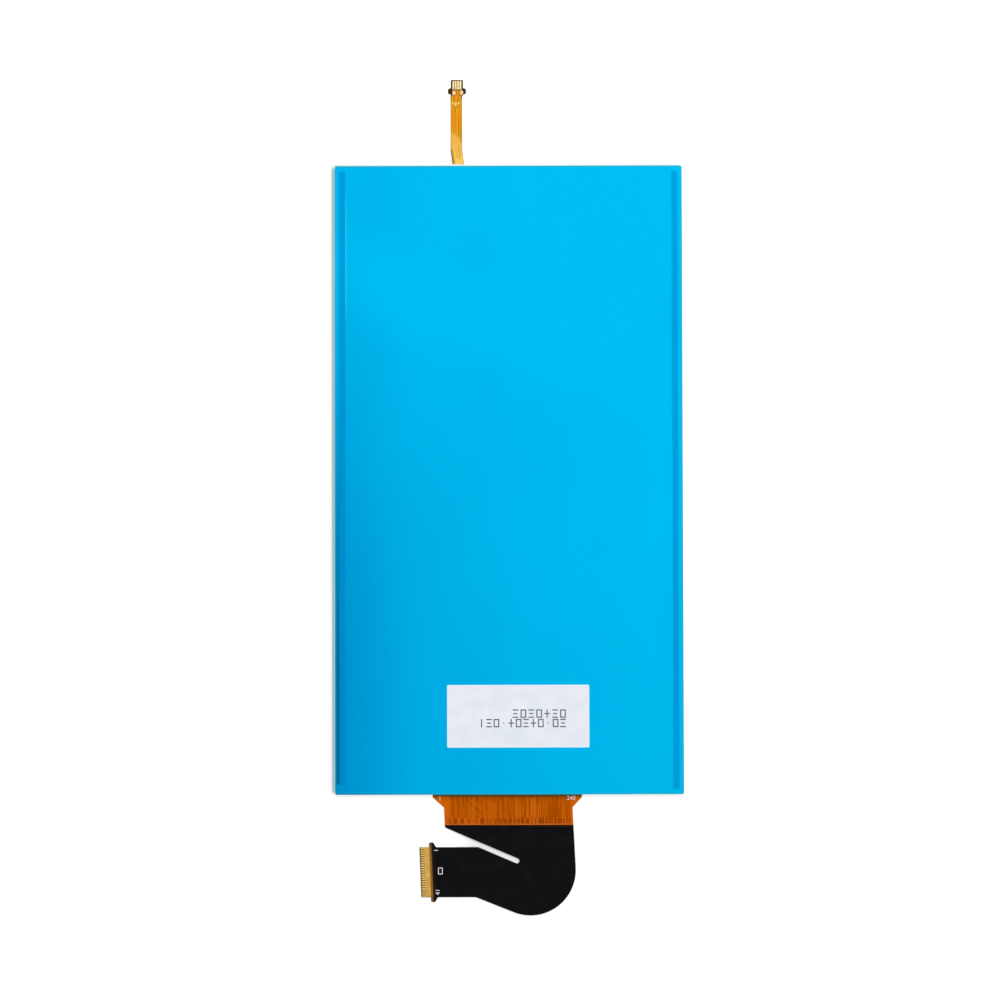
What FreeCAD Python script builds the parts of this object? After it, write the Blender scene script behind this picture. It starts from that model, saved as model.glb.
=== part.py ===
import FreeCAD, Part
import math
import os
import re
from typing import NamedTuple

import Sketcher
from FreeCAD import Vector

# Replacement LCD module for a phone, lying face down. Millimetres.
# The origin is the centre of the glass on the display face, +Z leads out of the rear,
# +Y leads to the end with the LEDs and the backlight tail, and -Y to the end with the display flex.

SIZES = {
    # Picture area, and the border between it and the ledge
    "active_width": 68.5,
    "active_length": 121.8,
    "bond_end_border": 1.4,
    # Thicknesses, in order from the display face to the rear
    "front_polarizer_thickness": 0.10,
    "filter_glass_thickness": 0.20,
    "array_glass_thickness": 0.20,
    "rear_polarizer_thickness": 0.10,
    "shield_tape_thickness": 0.06,
    "prism_film_thickness": 0.06,
    "diffuser_thickness": 0.06,
    "light_guide_thickness": 0.65,
    "reflector_thickness": 0.08,
    "strip_thickness": 0.05,
    "protective_film_thickness": 0.07,
    "label_thickness": 0.08,
    # How far the sheets stand out past the picture area, or stay inside the glass
    "front_polarizer_inset": 0.4,
    "rear_polarizer_margin": 0.9,
    "shield_tape_margin": 0.2,
    "shield_tape_inset": 0.2,
    "guide_margin": 1.3,
    "film_inset": 0.1,
    # Tabs on the long sides of the films, and ears on the light guide, that sit in notches of the frame
    "film_tab_span": 84.0,
    "film_tab_width": 3.0,
    "film_tab_reach": 0.55,
    "guide_ear_drop": 6.5,
    "guide_ear_width": 2.4,
    "guide_ear_reach": 0.45,
    # Moulded backlight frame
    "rim_wall": 0.5,
    "step_width": 0.65,
    "rim_lift": 0.05,
    "glass_clearance": 0.1,
    "guide_clearance": 0.1,
    "frame_corner_radius": 0.8,
    "led_end_wall": 1.05,
    "led_end_lip": 0.45,
    "reflector_inset": 0.4,
    "reflector_clearance": 0.05,
    # LEDs and the strip that carries them
    "led_count": 12,
    "led_length": 3.8,
    "led_depth": 1.0,
    "led_height": 0.55,
    "led_window_length": 3.0,
    "led_window_height": 0.34,
    "led_window_depth": 0.15,
    "led_gap": 0.05,
    "led_strip_inset": 1.0,
    "led_strip_depth": 2.1,
    "backlight_flex_thickness": 0.08,
    # Backlight tail
    "slot_clearance": 0.2,
    "tail_width": 2.42,
    "tail_exit_x": -10.01,
    "tail_x": -10.39,
    "tail_jog_start": 0.25,
    "tail_jog_end": 3.15,
    "tail_slope_start": 0.15,
    "tail_slope_end": 5.75,
    "tail_bend_radius": 2.5,
    "tail_length": 18.0,
    "tail_head_x": -10.26,
    "tail_head_width": 2.54,
    "tail_head_length": 3.35,
    "tail_head_radius": 0.2,
    "tail_ear_reach": 0.64,
    "tail_ear_start": 1.75,
    "tail_ear_length": 1.3,
    "tail_ear_radius": 0.5,
    "tail_stiffener_thickness": 0.12,
    "tail_contact_count": 4,
    "tail_contact_pitch": 0.5,
    "tail_contact_width": 0.36,
    "tail_contact_length": 1.8,
    "tail_contact_inset": 0.2,
    "contact_thickness": 0.03,
    # Adhesive strips, protective film and label on the rear
    "protective_film_shift": 0.52,
    "protective_film_drop": 0.09,
    "protective_film_cut": 0.54,
    "protective_film_overhang": 0.18,
    "protective_film_radius": 0.4,
    "strip_width": 1.24,
    "strip_inset": 1.55,
    "strip_led_end_gap": 1.1,
    "left_strip_bond_end_gap": 2.23,
    "right_strip_bond_end_gap": 1.12,
    "ridge_margin": 0.08,
    "label_width": 29.8,
    "label_length": 13.12,
    "label_x": 2.35,
    "label_end_gap": 9.83,
    "label_radius": 0.3,
    # Driver chip on the ledge
    "chip_length": 22.0,
    "chip_width": 1.0,
    "chip_thickness": 0.20,
    "chip_gap": 0.4,
    # Display flex: plan sizes are measured from the edge of the ledge and from the centre line
    "display_flex_thickness": 0.10,
    "bond_width": 1.6,
    "flex_head_reach": 15.65,
    "flex_shoulder_start": 1.45,
    "flex_shoulder_end": 3.6,
    "flex_neck_left": 13.27,
    "flex_neck_right": 13.7,
    "flex_lap_corner_x": -12.49,
    "flex_lap_corner_drop": 7.35,
    "flex_lap_corner_radius": 0.62,
    "slit_end_x": 2.0,
    "slit_end_drop": 14.77,
    "slit_width": 1.08,
    "arm_drop": 17.12,
    "arm_width": 10.47,
    "arm_reach": 18.25,
    "inner_elbow_x": -6.3,
    "inner_elbow_radius": 1.0,
    "outer_elbow_x": -6.93,
    "outer_elbow_radius": 1.5,
    "turn_x": 4.84,
    "turn_drop": 16.69,
    "turn_radius": 9.51,
    # Contact end of the display flex
    "contact_lean": 2.1,
    "ear_start": 2.04,
    "ear_tip_width": 1.0,
    "ear_base_width": 1.45,
    "ear_height": 1.0,
    "ear_radius": 0.3,
    "stiffener_length": 5.0,
    "stiffener_thickness": 0.20,
    "shield_start": 2.56,
    "shield_drop": 7.47,
    "shield_lean": 0.73,
    "shield_film_thickness": 0.04,
    "outer_contact_count": 21,
    "contact_pitch": 0.5,
    "contact_inset": 0.06,
    "outer_contact_length": 0.84,
    "outer_contact_width": 0.30,
    "contact_row_gap": 0.06,
    "inner_contact_width": 0.30,
    "contact_neck_width": 0.10,
    # How far a waste outline reaches past the edge that it cuts
    "cut_margin": 5.0,
}

# Levels above the display face
FILTER_GLASS_LEVEL = "front_polarizer_thickness"
ARRAY_GLASS_LEVEL = f"{FILTER_GLASS_LEVEL} + filter_glass_thickness"
REAR_POLARIZER_LEVEL = f"{ARRAY_GLASS_LEVEL} + array_glass_thickness"
SHIELD_TAPE_LEVEL = f"{REAR_POLARIZER_LEVEL} + rear_polarizer_thickness"
UPPER_PRISM_LEVEL = f"{SHIELD_TAPE_LEVEL} + shield_tape_thickness"
LOWER_PRISM_LEVEL = f"{UPPER_PRISM_LEVEL} + prism_film_thickness"
DIFFUSER_LEVEL = f"{LOWER_PRISM_LEVEL} + prism_film_thickness"
LIGHT_GUIDE_LEVEL = f"{DIFFUSER_LEVEL} + diffuser_thickness"
REFLECTOR_LEVEL = f"{LIGHT_GUIDE_LEVEL} + light_guide_thickness"
REAR_LEVEL = f"{REFLECTOR_LEVEL} + reflector_thickness"
LABEL_LEVEL = f"{REAR_LEVEL} + protective_film_thickness"
RIM_LEVEL = f"{ARRAY_GLASS_LEVEL} + rim_lift"
LED_STRIP_LEVEL = f"{REFLECTOR_LEVEL} - backlight_flex_thickness"
DISPLAY_FLEX_LEVEL = f"{ARRAY_GLASS_LEVEL} - display_flex_thickness"
FLEX_TOP_LEVEL = ARRAY_GLASS_LEVEL

# Borders, half widths, and ends along Y
SIDE_BORDER = "(guide_margin + guide_clearance + step_width - glass_clearance)"
LED_BAY = "(led_gap + led_strip_depth + guide_clearance + led_end_wall)"
LED_END_BORDER = f"(guide_margin + {LED_BAY} - rim_wall - glass_clearance)"
LEDGE_LENGTH = "(2 * chip_gap + chip_width + bond_width)"
ACTIVE_SIDE = "(active_width / 2)"
GLASS_SIDE = f"({ACTIVE_SIDE} + {SIDE_BORDER})"
GLASS_END = f"((active_length + {LED_END_BORDER} + bond_end_border + {LEDGE_LENGTH}) / 2)"
LEDGE_ROOT = f"({LEDGE_LENGTH} - {GLASS_END})"
ACTIVE_TOP = f"({GLASS_END} - {LED_END_BORDER})"
ACTIVE_BOTTOM = f"({LEDGE_ROOT} + bond_end_border)"
POCKET_SIDE = f"({GLASS_SIDE} + glass_clearance)"
POCKET_END = f"({GLASS_END} + glass_clearance)"
FRAME_SIDE = f"({POCKET_SIDE} + rim_wall)"
FRAME_END = f"({POCKET_END} + rim_wall)"
FRAME_TOP = f"({FRAME_END} + led_end_lip)"
GUIDE_SIDE = f"({ACTIVE_SIDE} + guide_margin)"
GUIDE_TOP = f"({ACTIVE_TOP} + guide_margin)"
GUIDE_BOTTOM = f"({ACTIVE_BOTTOM} - guide_margin)"
LED_FRONT = f"({GUIDE_TOP} + led_gap)"
LED_PITCH = "active_width / led_count"
PROTECTIVE_FILM_SIDE = f"({FRAME_SIDE} - protective_film_cut / 2)"
PROTECTIVE_FILM_TOP = f"({FRAME_END} + protective_film_overhang - protective_film_drop)"
PROTECTIVE_FILM_LOW = f"(-{FRAME_END} - protective_film_overhang - protective_film_drop)"
TAIL_END = f"({FRAME_TOP} + tail_length)"
HEAD_LOW = f"({TAIL_END} - tail_head_length)"
ARM_SIDE = "arm_width / 2"

NAME = re.compile(r"\b[a-z_]+\b(?!\()")
LEFT = 1
RIGHT = -1

doc = FreeCAD.newDocument("lcd_screen")
sizes = doc.addObject("Spreadsheet::Sheet", "Sizes")
for row, (name, size) in enumerate(SIZES.items(), start=1):
    sizes.set(f"A{row}", name)
    sizes.set(f"B{row}", str(size))
    sizes.setAlias(f"B{row}", name)
doc.recompute()

cuts = []
subparts = []


def formula(text):
    """Return the text with each size led by the name of the sheet that holds it."""
    return NAME.sub(r"Sizes.\g<0>", text)


def value(text):
    """Return the number that a formula gives."""
    return float(sizes.evalExpression(formula(text)))


class Turn(NamedTuple):
    """A corner of an outline, or a round stretch of it about a centre."""

    x: str
    y: str
    radius: str = "0"
    side: int = LEFT


class Tab(NamedTuple):
    """A pair of tabs, one on each long side of a sheet, or the pair of notches that they sit in."""

    place: str
    width: str
    reach: str


def bind(sketch, constraint, text):
    """Add a constraint whose size follows a formula."""
    index = sketch.addConstraint(constraint)
    sketch.setExpression(f"Constraints[{index}]", formula(text))


def fix_point(sketch, geometry, point, turn):
    """Hold a point of the sketch at the place of a turn."""
    bind(sketch, Sketcher.Constraint("DistanceX", -1, 1, geometry, point, value(turn.x)), turn.x)
    bind(sketch, Sketcher.Constraint("DistanceY", -1, 1, geometry, point, value(turn.y)), turn.y)


def draw_edges(sketch, turns):
    """Draw the straight edge that leaves each turn for the next one, and return the edges."""
    centres = [Vector(value(turn.x), value(turn.y), 0) for turn in turns]
    radii = [turn.side * value(turn.radius) for turn in turns]
    edges = []
    for here in range(len(turns)):
        after = (here + 1) % len(turns)
        run = centres[after] - centres[here]
        heading = math.atan2(run.y, run.x) - math.asin((radii[after] - radii[here]) / run.Length)
        normal = Vector(-math.sin(heading), math.cos(heading), 0)
        start = centres[here] - normal * radii[here]
        end = centres[after] - normal * radii[after]
        edges.append(sketch.addGeometry(Part.LineSegment(start, end), False))
    return edges


def draw_arc(sketch, turn, arriving, leaving):
    """Draw the arc of a turn, tangent to the edge that arrives and to the edge that leaves."""
    centre = Vector(value(turn.x), value(turn.y), 0)
    circle = Part.Circle(centre, Vector(0, 0, 1), value(turn.radius))
    entry = circle.parameter(sketch.getPoint(arriving, 2))
    departure = circle.parameter(sketch.getPoint(leaving, 1))
    first, last = (entry, departure) if turn.side == LEFT else (departure, entry)
    if last < first:
        last += 2 * math.pi
    arc = sketch.addGeometry(Part.ArcOfCircle(circle, first, last), False)
    entry_end, departure_end = (1, 2) if turn.side == LEFT else (2, 1)
    sketch.addConstraint(Sketcher.Constraint("Tangent", arriving, 2, arc, entry_end))
    sketch.addConstraint(Sketcher.Constraint("Tangent", arc, departure_end, leaving, 1))
    bind(sketch, Sketcher.Constraint("Radius", arc, value(turn.radius)), turn.radius)
    fix_point(sketch, arc, 3, turn)


def draw_outline(sketch, turns):
    """Draw a closed outline, counter-clockwise, from its corners and round stretches."""
    edges = draw_edges(sketch, turns)
    for here, turn in enumerate(turns):
        if turn.radius == "0":
            sketch.addConstraint(Sketcher.Constraint("Coincident", edges[here - 1], 2, edges[here], 1))
            fix_point(sketch, edges[here], 1, turn)
        else:
            draw_arc(sketch, turn, edges[here - 1], edges[here])


def rectangle(left, bottom, right, top):
    """Return the turns of a rectangle with sharp corners."""
    return [Turn(left, bottom), Turn(right, bottom), Turn(right, top), Turn(left, top)]


def rounded_rectangle(left, bottom, right, top, radius):
    """Return the turns of a rectangle with round corners."""
    return [
        Turn(f"{left} + {radius}", f"{bottom} + {radius}", radius),
        Turn(f"{right} - {radius}", f"{bottom} + {radius}", radius),
        Turn(f"{right} - {radius}", f"{top} - {radius}", radius),
        Turn(f"{left} + {radius}", f"{top} - {radius}", radius),
    ]


def tabbed_rectangle(side, bottom, top, tabs):
    """Return the turns of a rectangle that lies evenly about the centre line, with tabs on its long sides."""
    climb = [(side, bottom)]
    for tab in tabs:
        low = f"({tab.place} - {tab.width} / 2)"
        high = f"({tab.place} + {tab.width} / 2)"
        out = f"({side} + {tab.reach})"
        climb += [(side, low), (out, low), (out, high), (side, high)]
    climb.append((side, top))
    return [Turn(x, y) for x, y in climb] + [Turn(f"-{x}", y) for x, y in reversed(climb)]


def new_body(name, level="0"):
    """Return an empty piece whose own frame lies at a level above the display face."""
    body = doc.addObject("PartDesign::Body", name)
    body.Label = name
    body.AllowCompound = True
    body.setExpression("Placement.Base.z", formula(level))
    subparts.append(body)
    return body


def new_sketch(body, name, outlines, level="0", role="XY_Plane"):
    """Return a sketch on one of the piece's own planes, raised to a level."""
    sketch = body.newObject("Sketcher::SketchObject", f"{body.Name}_{name}_sketch")
    plane = next(item for item in body.Origin.OriginFeatures if item.Role == role)
    sketch.AttachmentSupport = [(plane, "")]
    sketch.MapMode = "FlatFace"
    sketch.setExpression("AttachmentOffset.Base.z", formula(level))
    for turns in outlines:
        draw_outline(sketch, turns)
    return sketch


def pad(body, name, thickness, outlines, level="0"):
    """Raise outlines to a thickness, upwards from a level."""
    feature = body.newObject("PartDesign::Pad", f"{body.Name}_{name}")
    feature.Profile = new_sketch(body, name, outlines, level)
    feature.setExpression("Length", formula(thickness))
    body.Tip = feature
    return feature


def cut(body, name, depth, outlines, level="0"):
    """Cut outlines out of the piece, upwards from a level."""
    before = body.Tip
    sketch = new_sketch(body, name, outlines, level)
    feature = body.newObject("PartDesign::Pocket", f"{body.Name}_{name}")
    feature.Profile = sketch
    feature.Reversed = True
    feature.setExpression("Length", formula(depth))
    body.Tip = feature
    cuts.append((before, feature))
    return feature


def repeat(body, features, axis, pitch, count):
    """Repeat features in a straight row along one axis of the first one's sketch."""
    row = body.newObject("PartDesign::LinearPattern", f"{body.Name}_row")
    row.Originals = features
    row.Direction = (features[0].Profile[0], [axis])
    row.setExpression("Length", formula(f"{pitch} * ({count} - 1)"))
    row.setExpression("Occurrences", formula(count))
    body.Tip = row


def plate(name, level, thickness, turns):
    """Make a flat sheet or slab from one outline."""
    body = new_body(name, level)
    pad(body, "outline", thickness, [turns])
    return body


def make_glass_stack():
    """Make the two glasses and the two polarizers, from the display face up."""
    inset = "front_polarizer_inset"
    plate("front_polarizer", "0", "front_polarizer_thickness", rectangle(
        f"{inset} - {GLASS_SIDE}", f"{LEDGE_ROOT} + {inset}",
        f"{GLASS_SIDE} - {inset}", f"{GLASS_END} - {inset}"))
    plate("color_filter_glass", FILTER_GLASS_LEVEL, "filter_glass_thickness", rectangle(
        f"-{GLASS_SIDE}", LEDGE_ROOT, GLASS_SIDE, GLASS_END))
    plate("array_glass", ARRAY_GLASS_LEVEL, "array_glass_thickness", rectangle(
        f"-{GLASS_SIDE}", f"-{GLASS_END}", GLASS_SIDE, GLASS_END))
    margin = "rear_polarizer_margin"
    plate("rear_polarizer", REAR_POLARIZER_LEVEL, "rear_polarizer_thickness", rectangle(
        f"-{ACTIVE_SIDE} - {margin}", f"{ACTIVE_BOTTOM} - {margin}",
        f"{ACTIVE_SIDE} + {margin}", f"{ACTIVE_TOP} + {margin}"))


def make_driver_chip():
    """Make the driver chip, which hangs under the ledge between the filter glass and the flex."""
    top = f"({LEDGE_ROOT} - chip_gap)"
    plate("driver_chip", f"{ARRAY_GLASS_LEVEL} - chip_thickness", "chip_thickness", rectangle(
        "-chip_length / 2", f"{top} - chip_width", "chip_length / 2", top))


def make_light_shield_tape():
    """Make the black tape frame that joins the glass to the backlight round the picture area."""
    body = new_body("light_shield_tape", SHIELD_TAPE_LEVEL)
    inset = "shield_tape_inset"
    margin = "shield_tape_margin"
    outside = rectangle(
        f"{inset} - {GLASS_SIDE}", f"{inset} - {GLASS_END}",
        f"{GLASS_SIDE} - {inset}", f"{GLASS_END} - {inset}")
    window = rectangle(
        f"-{ACTIVE_SIDE} - {margin}", f"{ACTIVE_BOTTOM} - {margin}",
        f"{ACTIVE_SIDE} + {margin}", f"{ACTIVE_TOP} + {margin}")
    pad(body, "outline", "shield_tape_thickness", [outside, window])


def make_backlight_frame():
    """Make the moulded frame, with its glass pocket, well, recess for the reflector and tail slot."""
    body = new_body("backlight_frame", RIM_LEVEL)
    height = f"({REAR_LEVEL} - ({RIM_LEVEL}))"
    pad(body, "outline", height, [rounded_rectangle(
        f"-{FRAME_SIDE}", f"-{FRAME_END}", FRAME_SIDE, FRAME_TOP, "frame_corner_radius")])
    cut(body, "glass_pocket", f"{UPPER_PRISM_LEVEL} - ({RIM_LEVEL})", [rectangle(
        f"-{POCKET_SIDE}", f"-{POCKET_END}", POCKET_SIDE, POCKET_END)])
    slack = "2 * guide_clearance"
    notches = [
        Tab(tab.place, f"({tab.width} + {slack})", tab.reach)
        for tab in (*film_tabs("(film_tab_reach - film_inset)"), guide_ears())
    ]
    cut(body, "guide_well", height, [tabbed_rectangle(
        f"({GUIDE_SIDE} + guide_clearance)", f"{GUIDE_BOTTOM} - guide_clearance",
        f"{FRAME_END} - led_end_wall", notches)])
    cut(body, "reflector_recess", "reflector_thickness", [reflector_outline("reflector_clearance")],
        f"{REFLECTOR_LEVEL} - ({RIM_LEVEL})")
    slot_half = "(tail_width / 2 + slot_clearance)"
    cut(body, "tail_slot", "backlight_flex_thickness", [rectangle(
        f"tail_exit_x - {slot_half}", f"{FRAME_END} - led_end_wall - guide_clearance",
        f"tail_exit_x + {slot_half}", f"{FRAME_TOP} + slot_clearance")],
        f"{LED_STRIP_LEVEL} - ({RIM_LEVEL})")


def reflector_outline(margin="0"):
    """Return the turns of the reflector, or of the recess round it."""
    inset = f"(reflector_inset - {margin})"
    return rounded_rectangle(
        f"{inset} - {FRAME_SIDE}", f"{inset} - {FRAME_END}",
        f"{FRAME_SIDE} - {inset}", f"{FRAME_END} - {inset}", f"(frame_corner_radius + {margin})")


def film_tabs(reach):
    """Return the two pairs of tabs on the films, or of the notches that they sit in, from low to high."""
    places = ("(-film_tab_span / 2)", "(film_tab_span / 2)")
    return [Tab(place, "film_tab_width", reach) for place in places]


def guide_ears():
    """Return the pair of ears on the light guide, near its end with the LEDs."""
    return Tab(f"({GUIDE_TOP} - guide_ear_drop)", "guide_ear_width", "guide_ear_reach")


def make_backlight_films():
    """Make the films between the glass and the light guide, the guide itself and the reflector."""
    film = tabbed_rectangle(
        f"({GUIDE_SIDE} - film_inset)", f"{GUIDE_BOTTOM} + film_inset", f"{GUIDE_TOP} - film_inset",
        film_tabs("film_tab_reach"))
    plate("upper_prism_film", UPPER_PRISM_LEVEL, "prism_film_thickness", film)
    plate("lower_prism_film", LOWER_PRISM_LEVEL, "prism_film_thickness", film)
    plate("diffuser_film", DIFFUSER_LEVEL, "diffuser_thickness", film)
    plate("light_guide_plate", LIGHT_GUIDE_LEVEL, "light_guide_thickness", tabbed_rectangle(
        GUIDE_SIDE, GUIDE_BOTTOM, GUIDE_TOP, [guide_ears()]))
    plate("reflector_film", REFLECTOR_LEVEL, "reflector_thickness", reflector_outline())


def make_leds():
    """Make the row of LEDs, which stand under their strip and shine into the end of the guide."""
    body = new_body("leds", f"{LED_STRIP_LEVEL} - led_height")
    middle = f"(-{LED_PITCH} * (led_count - 1) / 2)"
    package = pad(body, "package", "led_height", [rectangle(
        f"{middle} - led_length / 2", LED_FRONT, f"{middle} + led_length / 2", f"{LED_FRONT} + led_depth")])
    window = cut(body, "window", "led_window_height", [rectangle(
        f"{middle} - led_window_length / 2", LED_FRONT,
        f"{middle} + led_window_length / 2", f"{LED_FRONT} + led_window_depth")],
        "(led_height - led_window_height) / 2")
    repeat(body, [package, window], "H_Axis", LED_PITCH, "led_count")


def tail_head():
    """Return the turns round the head of the backlight tail, with its two round ears."""
    left = "(tail_head_x - tail_head_width / 2)"
    right = "(tail_head_x + tail_head_width / 2)"
    high = f"({TAIL_END} - tail_ear_start)"
    low = f"({high} - tail_ear_length)"
    radius = "tail_ear_radius"
    corner = "tail_head_radius"
    ear_right = f"{right} + tail_ear_reach - {radius}"
    ear_left = f"{left} - tail_ear_reach + {radius}"
    return [
        Turn(right, HEAD_LOW),
        Turn(right, low),
        Turn(ear_right, f"{low} + {radius}", radius),
        Turn(ear_right, f"{high} - {radius}", radius),
        Turn(right, high),
        Turn(f"{right} - {corner}", f"{TAIL_END} - {corner}", corner),
        Turn(f"{left} + {corner}", f"{TAIL_END} - {corner}", corner),
        Turn(left, high),
        Turn(ear_left, f"{high} - {radius}", radius),
        Turn(ear_left, f"{low} + {radius}", radius),
        Turn(left, low),
        Turn(left, HEAD_LOW),
    ]


def tail_section():
    """Return the side view of the LED strip and tail: level, down the slope, and level again."""
    strip = f"({LED_STRIP_LEVEL})"
    thickness = "backlight_flex_thickness"
    radius = "tail_bend_radius"
    outer_radius = f"({radius} + {thickness})"
    rest = "tail_stiffener_thickness"
    start = f"({LED_FRONT} - cut_margin)"
    end = f"({TAIL_END} + cut_margin)"
    crest = (f"{FRAME_TOP} + tail_slope_start", f"{strip} - {radius}")
    foot = (f"{FRAME_TOP} + tail_slope_end", f"{rest} + {thickness} + {radius}")
    return [
        Turn(start, strip),
        Turn(*crest, radius, RIGHT),
        Turn(*foot, outer_radius, LEFT),
        Turn(end, rest),
        Turn(end, f"{rest} + {thickness}"),
        Turn(*foot, radius, RIGHT),
        Turn(*crest, outer_radius, LEFT),
        Turn(start, f"{strip} + {thickness}"),
    ]


def make_backlight_flex():
    """Make the LED strip and its tail as one ribbon, trimmed to its plan."""
    body = new_body("backlight_flex")
    ribbon = body.newObject("PartDesign::Pad", "backlight_flex_ribbon")
    ribbon.Profile = new_sketch(body, "section", [tail_section()], role="YZ_Plane")
    ribbon.SideType = "Symmetric"
    ribbon.setExpression("Length", formula("active_width"))
    body.Tip = ribbon
    strip_end = f"({ACTIVE_SIDE} - led_strip_inset)"
    strip_top = f"({LED_FRONT} + led_strip_depth)"
    plan = [
        Turn(f"-{strip_end}", LED_FRONT),
        Turn(strip_end, LED_FRONT),
        Turn(strip_end, strip_top),
        Turn("tail_exit_x + tail_width / 2", strip_top),
        Turn("tail_exit_x + tail_width / 2", f"{FRAME_TOP} + tail_jog_start"),
        Turn("tail_x + tail_width / 2", f"{FRAME_TOP} + tail_jog_end"),
        Turn("tail_x + tail_width / 2", HEAD_LOW),
        *tail_head(),
        Turn("tail_x - tail_width / 2", HEAD_LOW),
        Turn("tail_x - tail_width / 2", f"{FRAME_TOP} + tail_jog_end"),
        Turn("tail_exit_x - tail_width / 2", f"{FRAME_TOP} + tail_jog_start"),
        Turn("tail_exit_x - tail_width / 2", strip_top),
        Turn(f"-{strip_end}", strip_top),
    ]
    waste = rectangle(
        "-active_width", f"{LED_FRONT} - 2 * cut_margin", "active_width", f"{TAIL_END} + 2 * cut_margin")
    cut(body, "plan", REAR_LEVEL, [waste, plan])


def make_tail_head_pieces():
    """Make the stiffener under the head of the tail and the contacts on it."""
    plate("backlight_stiffener", "0", "tail_stiffener_thickness", tail_head())
    body = new_body("backlight_contacts", "tail_stiffener_thickness + backlight_flex_thickness")
    left = "(tail_head_x - tail_contact_pitch * (tail_contact_count - 1) / 2 - tail_contact_width / 2)"
    top = f"({TAIL_END} - tail_contact_inset)"
    first = pad(body, "contact", "contact_thickness", [rectangle(
        left, f"{top} - tail_contact_length", f"{left} + tail_contact_width", top)])
    repeat(body, [first], "H_Axis", "tail_contact_pitch", "tail_contact_count")


def strip_outline(side, bond_end_gap, margin="0"):
    """Return the turns of the strip, or of the ridge over it, on the left (-1) or the right (1)."""
    middle = f"(protective_film_shift + {side} * ({PROTECTIVE_FILM_SIDE} - strip_inset))"
    reach = f"(strip_width / 2 + {margin})"
    return rectangle(
        f"{middle} - {reach}", f"{PROTECTIVE_FILM_LOW} + {bond_end_gap} - {margin}",
        f"{middle} + {reach}", f"{PROTECTIVE_FILM_TOP} - strip_led_end_gap + {margin}")


def make_rear_layers():
    """Make the two adhesive strips, the protective film that rises over them, and the label."""
    strips = {"left": (-1, "left_strip_bond_end_gap"), "right": (1, "right_strip_bond_end_gap")}
    for name, place in strips.items():
        plate(f"{name}_adhesive_strip", REAR_LEVEL, "strip_thickness", strip_outline(*place))
    body = new_body("protective_film", REAR_LEVEL)
    pad(body, "sheet", "protective_film_thickness", [rounded_rectangle(
        f"protective_film_shift - {PROTECTIVE_FILM_SIDE}", PROTECTIVE_FILM_LOW,
        f"protective_film_shift + {PROTECTIVE_FILM_SIDE}", PROTECTIVE_FILM_TOP, "protective_film_radius")])
    ridges = [strip_outline(*place, "ridge_margin") for place in strips.values()]
    pad(body, "ridges", "strip_thickness", ridges, "protective_film_thickness")
    cut(body, "grooves", "strip_thickness", [strip_outline(*place) for place in strips.values()])
    label_low = f"({PROTECTIVE_FILM_LOW} + label_end_gap)"
    plate("label_sticker", LABEL_LEVEL, "label_thickness", rounded_rectangle(
        "label_x - label_width / 2", label_low, "label_x + label_width / 2", f"{label_low} + label_length",
        "label_radius"))


def below_ledge(drop):
    """Return a place along Y, given as a distance below the edge of the ledge."""
    return f"(-{GLASS_END} - ({drop}))"


def at_tip(along, across):
    """Return a place on the contact end, along the arm from its leaning tip and across it."""
    return f"({along} - arm_reach - ({across}) * tan(contact_lean))", below_ledge(f"arm_drop - ({across})")


def contact_end():
    """Return the turns round the contact end, with an ear on each side of the arm."""
    ear_base_end = "(ear_start + ear_base_width)"
    radius = "ear_radius"
    near = f"(ear_start + {radius})"
    far = f"(ear_start + ear_tip_width - {radius})"
    out = f"({ARM_SIDE} + ear_height - {radius})"
    return [
        Turn(*at_tip(ear_base_end, ARM_SIDE)),
        Turn(*at_tip(far, out), radius),
        Turn(*at_tip(near, out), radius),
        Turn(*at_tip("ear_start", ARM_SIDE)),
        Turn(*at_tip("0", ARM_SIDE)),
        Turn(*at_tip("0", f"-{ARM_SIDE}")),
        Turn(*at_tip("ear_start", f"-{ARM_SIDE}")),
        Turn(*at_tip(near, f"-{out}"), radius),
        Turn(*at_tip(far, f"-{out}"), radius),
        Turn(*at_tip(ear_base_end, f"-{ARM_SIDE}")),
    ]


def flex_outline():
    """Return the turns of the display flex: wide head, lap, slit, arm with its contact end, and wide turn."""
    arm_high = f"arm_drop - {ARM_SIDE}"
    arm_low = f"arm_drop + {ARM_SIDE}"
    head_top = below_ledge("-bond_width")
    shoulder = below_ledge("flex_shoulder_start")
    neck = below_ledge("flex_shoulder_end")
    return [
        Turn("-flex_head_reach", head_top),
        Turn("-flex_head_reach", shoulder),
        Turn("-flex_neck_left", neck),
        Turn("flex_lap_corner_x", below_ledge("flex_lap_corner_drop"), "flex_lap_corner_radius"),
        Turn("slit_end_x", below_ledge("slit_end_drop"), "(slit_width / 2)", RIGHT),
        Turn("inner_elbow_x", below_ledge(f"{arm_high} + inner_elbow_radius"), "inner_elbow_radius"),
        *contact_end(),
        Turn("outer_elbow_x", below_ledge(f"{arm_low} + outer_elbow_radius"), "outer_elbow_radius", RIGHT),
        Turn("turn_x", below_ledge("turn_drop"), "turn_radius"),
        Turn("flex_neck_right", neck),
        Turn("flex_head_reach", shoulder),
        Turn("flex_head_reach", head_top),
    ]


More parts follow.
